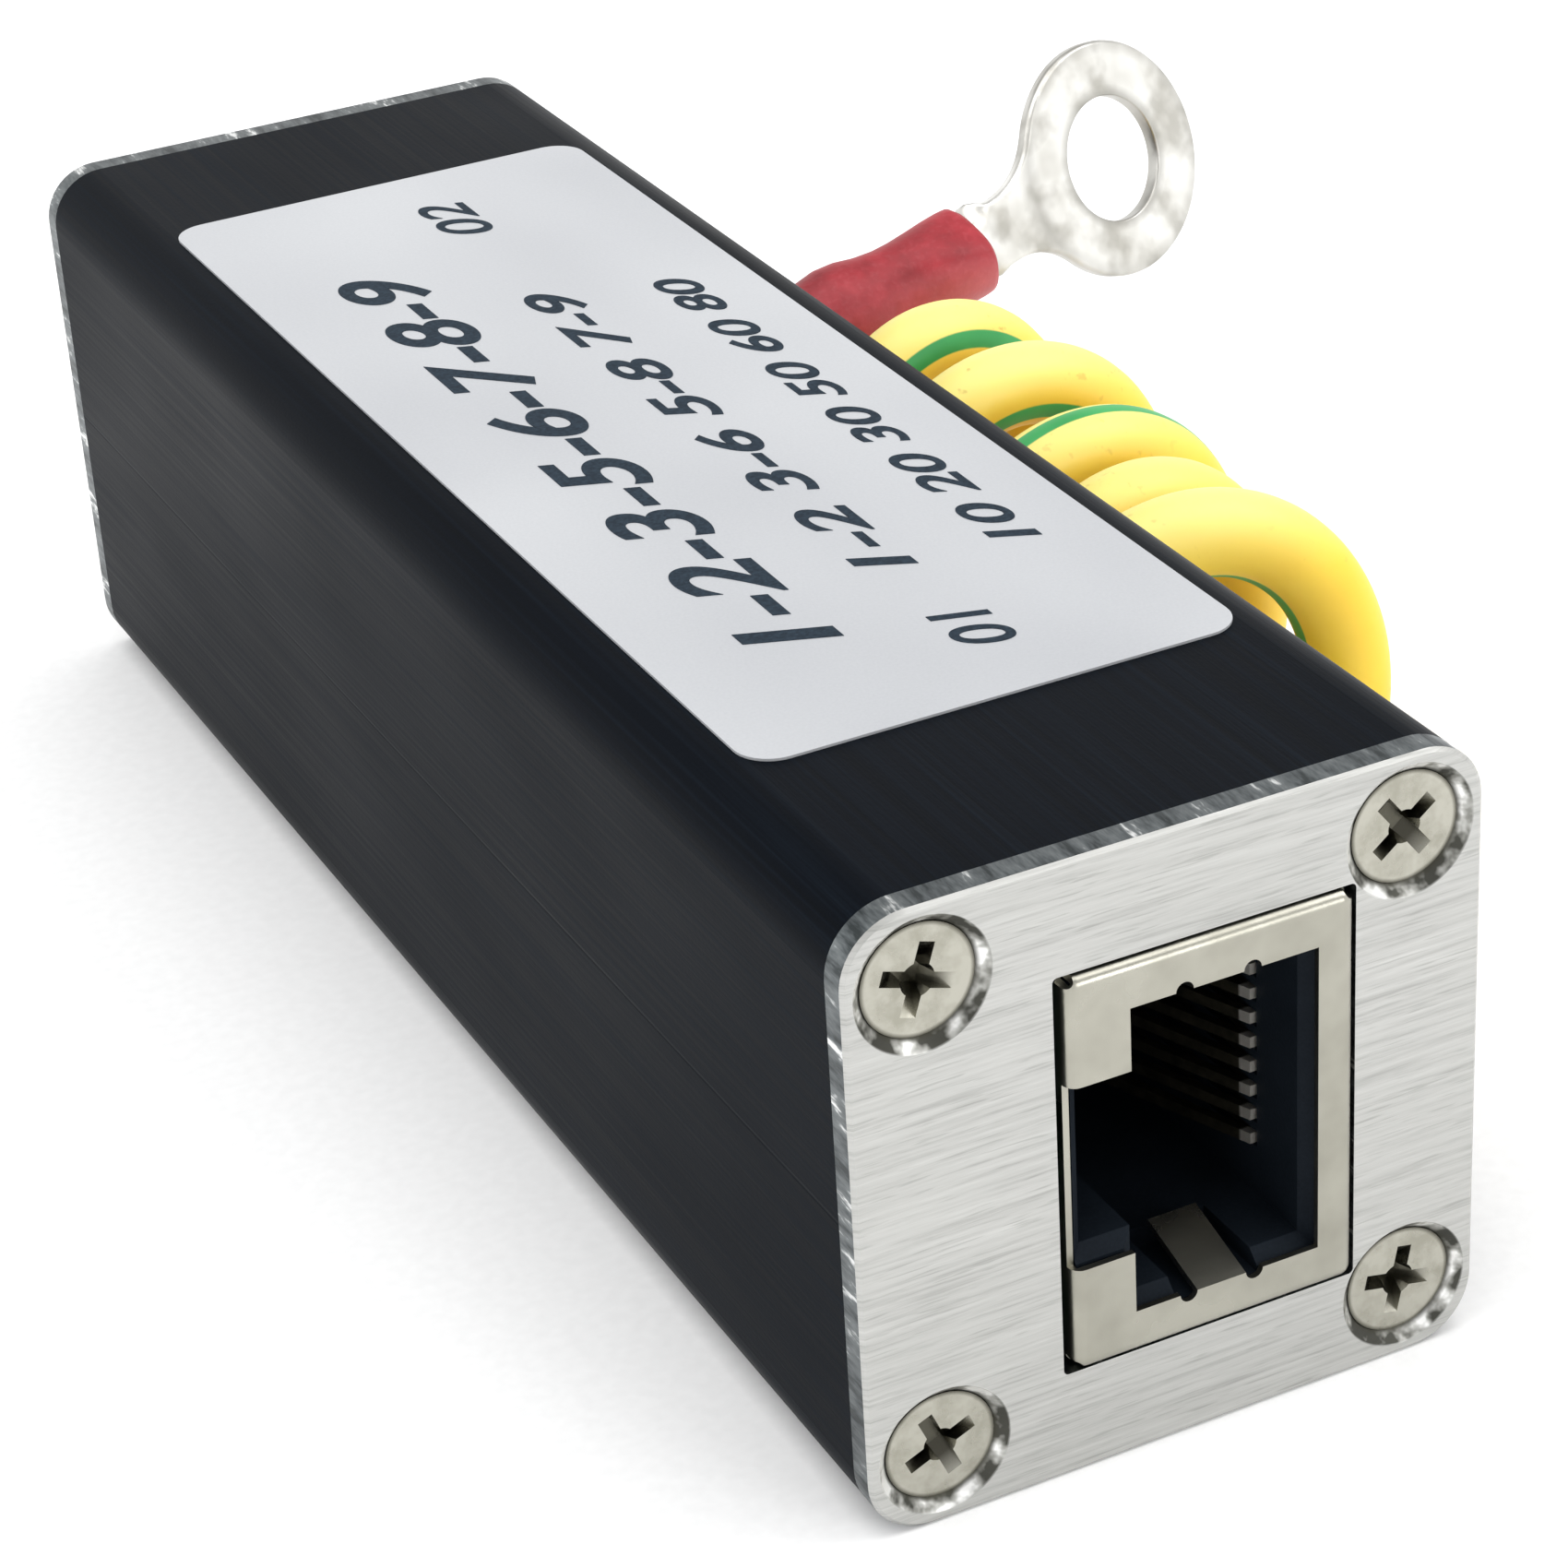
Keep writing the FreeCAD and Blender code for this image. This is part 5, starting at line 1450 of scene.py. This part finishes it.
    def sweep(self, loop: list[int]) -> None:
        """Rolls the neck's end into the barrel that the sleeve holds.

        Args:
            loop: the points round the neck's end.
        """
        pose = self.pose
        offsets = [self.points[i] - pose.centre for i in loop]
        flat = [(offset.dot(pose.wide), offset.dot(pose.normal)) for offset in offsets]
        total = pose.bend_to_ring - self.neck_end + TerminalSleeve().end_to_bend + self.barrel_inside
        rolling = total - self.barrel_inside * self.rolled_share
        barrel_width = self.barrel_middle * math.radians(self.curl_degrees)
        previous = loop
        for step in range(1, self.sweep_steps + 1):
            share = step / self.sweep_steps
            gone = self.neck_end + total * share
            roll = min(share * total / rolling, 1.0)
            roll = roll * roll * (3 - 2 * roll)
            bend = math.radians(pose.bend_degrees) * min(share / self.bend_share, 1.0)
            heading = (pose.along * math.cos(bend) + pose.normal * math.sin(bend)).normalized()
            lift = heading.cross(pose.wide)
            if gone < pose.bend_to_ring:
                centre = pose.centre - pose.along * gone
            else:
                centre = pose.bend - pose.axis * (gone - pose.bend_to_ring)
            curl = math.radians(self.curl_degrees) * roll
            width = 2 * self.neck_half * (1 - roll) + barrel_width * roll
            sheet = self.half_sheet * (1 - roll) + self.barrel_wall * roll
            radius = width / curl
            ring = []
            for across, height in flat:
                angle = across / (2 * self.neck_half) * curl
                out = radius + height / self.half_sheet * sheet
                up = self.barrel_middle * roll - radius + out * math.cos(angle)
                ring.append(len(self.points))
                self.points.append(centre + pose.wide * (out * math.sin(angle)) + lift * up)
            for i in range(len(ring)):
                j = (i + 1) % len(ring)
                self.faces.append((previous[i], previous[j], ring[j], ring[i]))
            previous = ring
        self.faces.append(tuple(previous))


@dataclass(frozen=True)
class Softbox:
    """A lamp behind a square cloth: its place, its cloth's side and its watts."""

    name: str
    place: tuple[float, float, float]
    side: float
    power: float


@dataclass
class Studio:
    """Pale paper, soft lights and the camera."""

    # The camera's place, turn and lens are solved from the photograph's straight edges.
    camera_place: tuple[float, float, float] = (-63.2704 * MM, -147.445 * MM, 95.28 * MM)
    camera_turn: tuple[float, float, float] = (61.137, 3.251, -26.657)
    lens_mm: float = 98.1316
    sensor_mm: float = 36.0
    clip: tuple[float, float] = (0.01, 20.0)
    paper_reach: float = 4.0
    target: tuple[float, float, float] = (5 * MM, 0.0, 12 * MM)
    lights: tuple[Softbox, ...] = (
        Softbox("key_softbox", (0.5, -0.2, 0.62), 0.45, 1.9),
        Softbox("overhead_softbox", (-0.1, 0.0, 0.8), 0.8, 3.9),
        Softbox("front_softbox", (0.25, -0.65, 0.3), 0.25, 0.8),
        Softbox("left_fill", (-0.6, 0.1, 0.4), 0.5, 1.3),
    )
    # White walls stand low round the set. The ceiling above them is dimmer, which keeps the
    # black tube black. The heights are shares of a unit direction's rise.
    surround: str = "#ffffff"
    wall_strength: float = 1.3
    ceiling_strength: float = 0.6
    wall_top: float = 0.36
    ceiling_start: float = 0.52

    def build(self) -> None:
        """Sets up paper, lights, surroundings and camera."""
        self.lay_paper()
        for softbox in self.lights:
            self.hang_light(softbox)
        self.surround_set()
        bpy.context.scene.view_settings.view_transform = "Standard"
        self.stand_camera()

    def surround_set(self) -> None:
        """Stands the walls and the ceiling round the set, as the world's light."""
        world = bpy.data.worlds.new("studio")
        world.use_nodes = True
        background = world.node_tree.nodes["Background"]
        background.inputs["Color"].default_value = linear(self.surround)
        place = add_node(world.node_tree, "ShaderNodeTexCoord")
        height = add_node(world.node_tree, "ShaderNodeSeparateXYZ", {0: place.outputs["Generated"]})
        falling = add_node(world.node_tree, "ShaderNodeMapRange", {
            "Value": height.outputs["Z"], "From Min": self.wall_top, "From Max": self.ceiling_start,
            "To Min": self.wall_strength, "To Max": self.ceiling_strength})
        world.node_tree.links.new(falling.outputs[0], background.inputs["Strength"])
        bpy.context.scene.world = world

    def lay_paper(self) -> None:
        """Lays the paper on the plane that the object stands on."""
        reach = self.paper_reach
        corners = [(-reach, -reach, 0.0), (reach, -reach, 0.0), (reach, reach, 0.0), (-reach, reach, 0.0)]
        mesh_object("studio_floor", corners, [(0, 1, 2, 3)], Stock.PAPER)

    def hang_light(self, softbox: Softbox) -> None:
        """Hangs a softbox that faces the object.

        Args:
            softbox: what to hang, and where.
        """
        data = bpy.data.lights.new(softbox.name, "AREA")
        data.shape = "SQUARE"
        data.size = softbox.side
        data.energy = softbox.power
        light = bpy.data.objects.new(softbox.name, data)
        light.location = softbox.place
        aim = Vector(self.target) - Vector(softbox.place)
        light.rotation_euler = aim.to_track_quat("-Z", "Y").to_euler()
        bpy.context.scene.collection.objects.link(light)

    def stand_camera(self) -> None:
        """Stands the camera at the photograph's viewing angle."""
        data = bpy.data.cameras.new("camera")
        data.sensor_width = self.sensor_mm
        data.lens = self.lens_mm
        data.clip_start, data.clip_end = self.clip
        camera = bpy.data.objects.new("camera", data)
        camera.location = self.camera_place
        camera.rotation_euler = [math.radians(a) for a in self.camera_turn]
        bpy.context.scene.collection.objects.link(camera)
        bpy.context.scene.camera = camera


def main() -> None:
    """Builds every sub-assembly and the studio."""
    logging.basicConfig(level=logging.INFO, format="%(message)s")
    bpy.context.view_layer.update()
    for part in (Housing(), Sockets(), ProtectionBoard(), FaceLabel(), EarthLead(), Studio()):
        part.build()
        LOG.info("finished %s", type(part).__name__)
    bpy.context.view_layer.update()


if __name__ == "__main__":
    main()
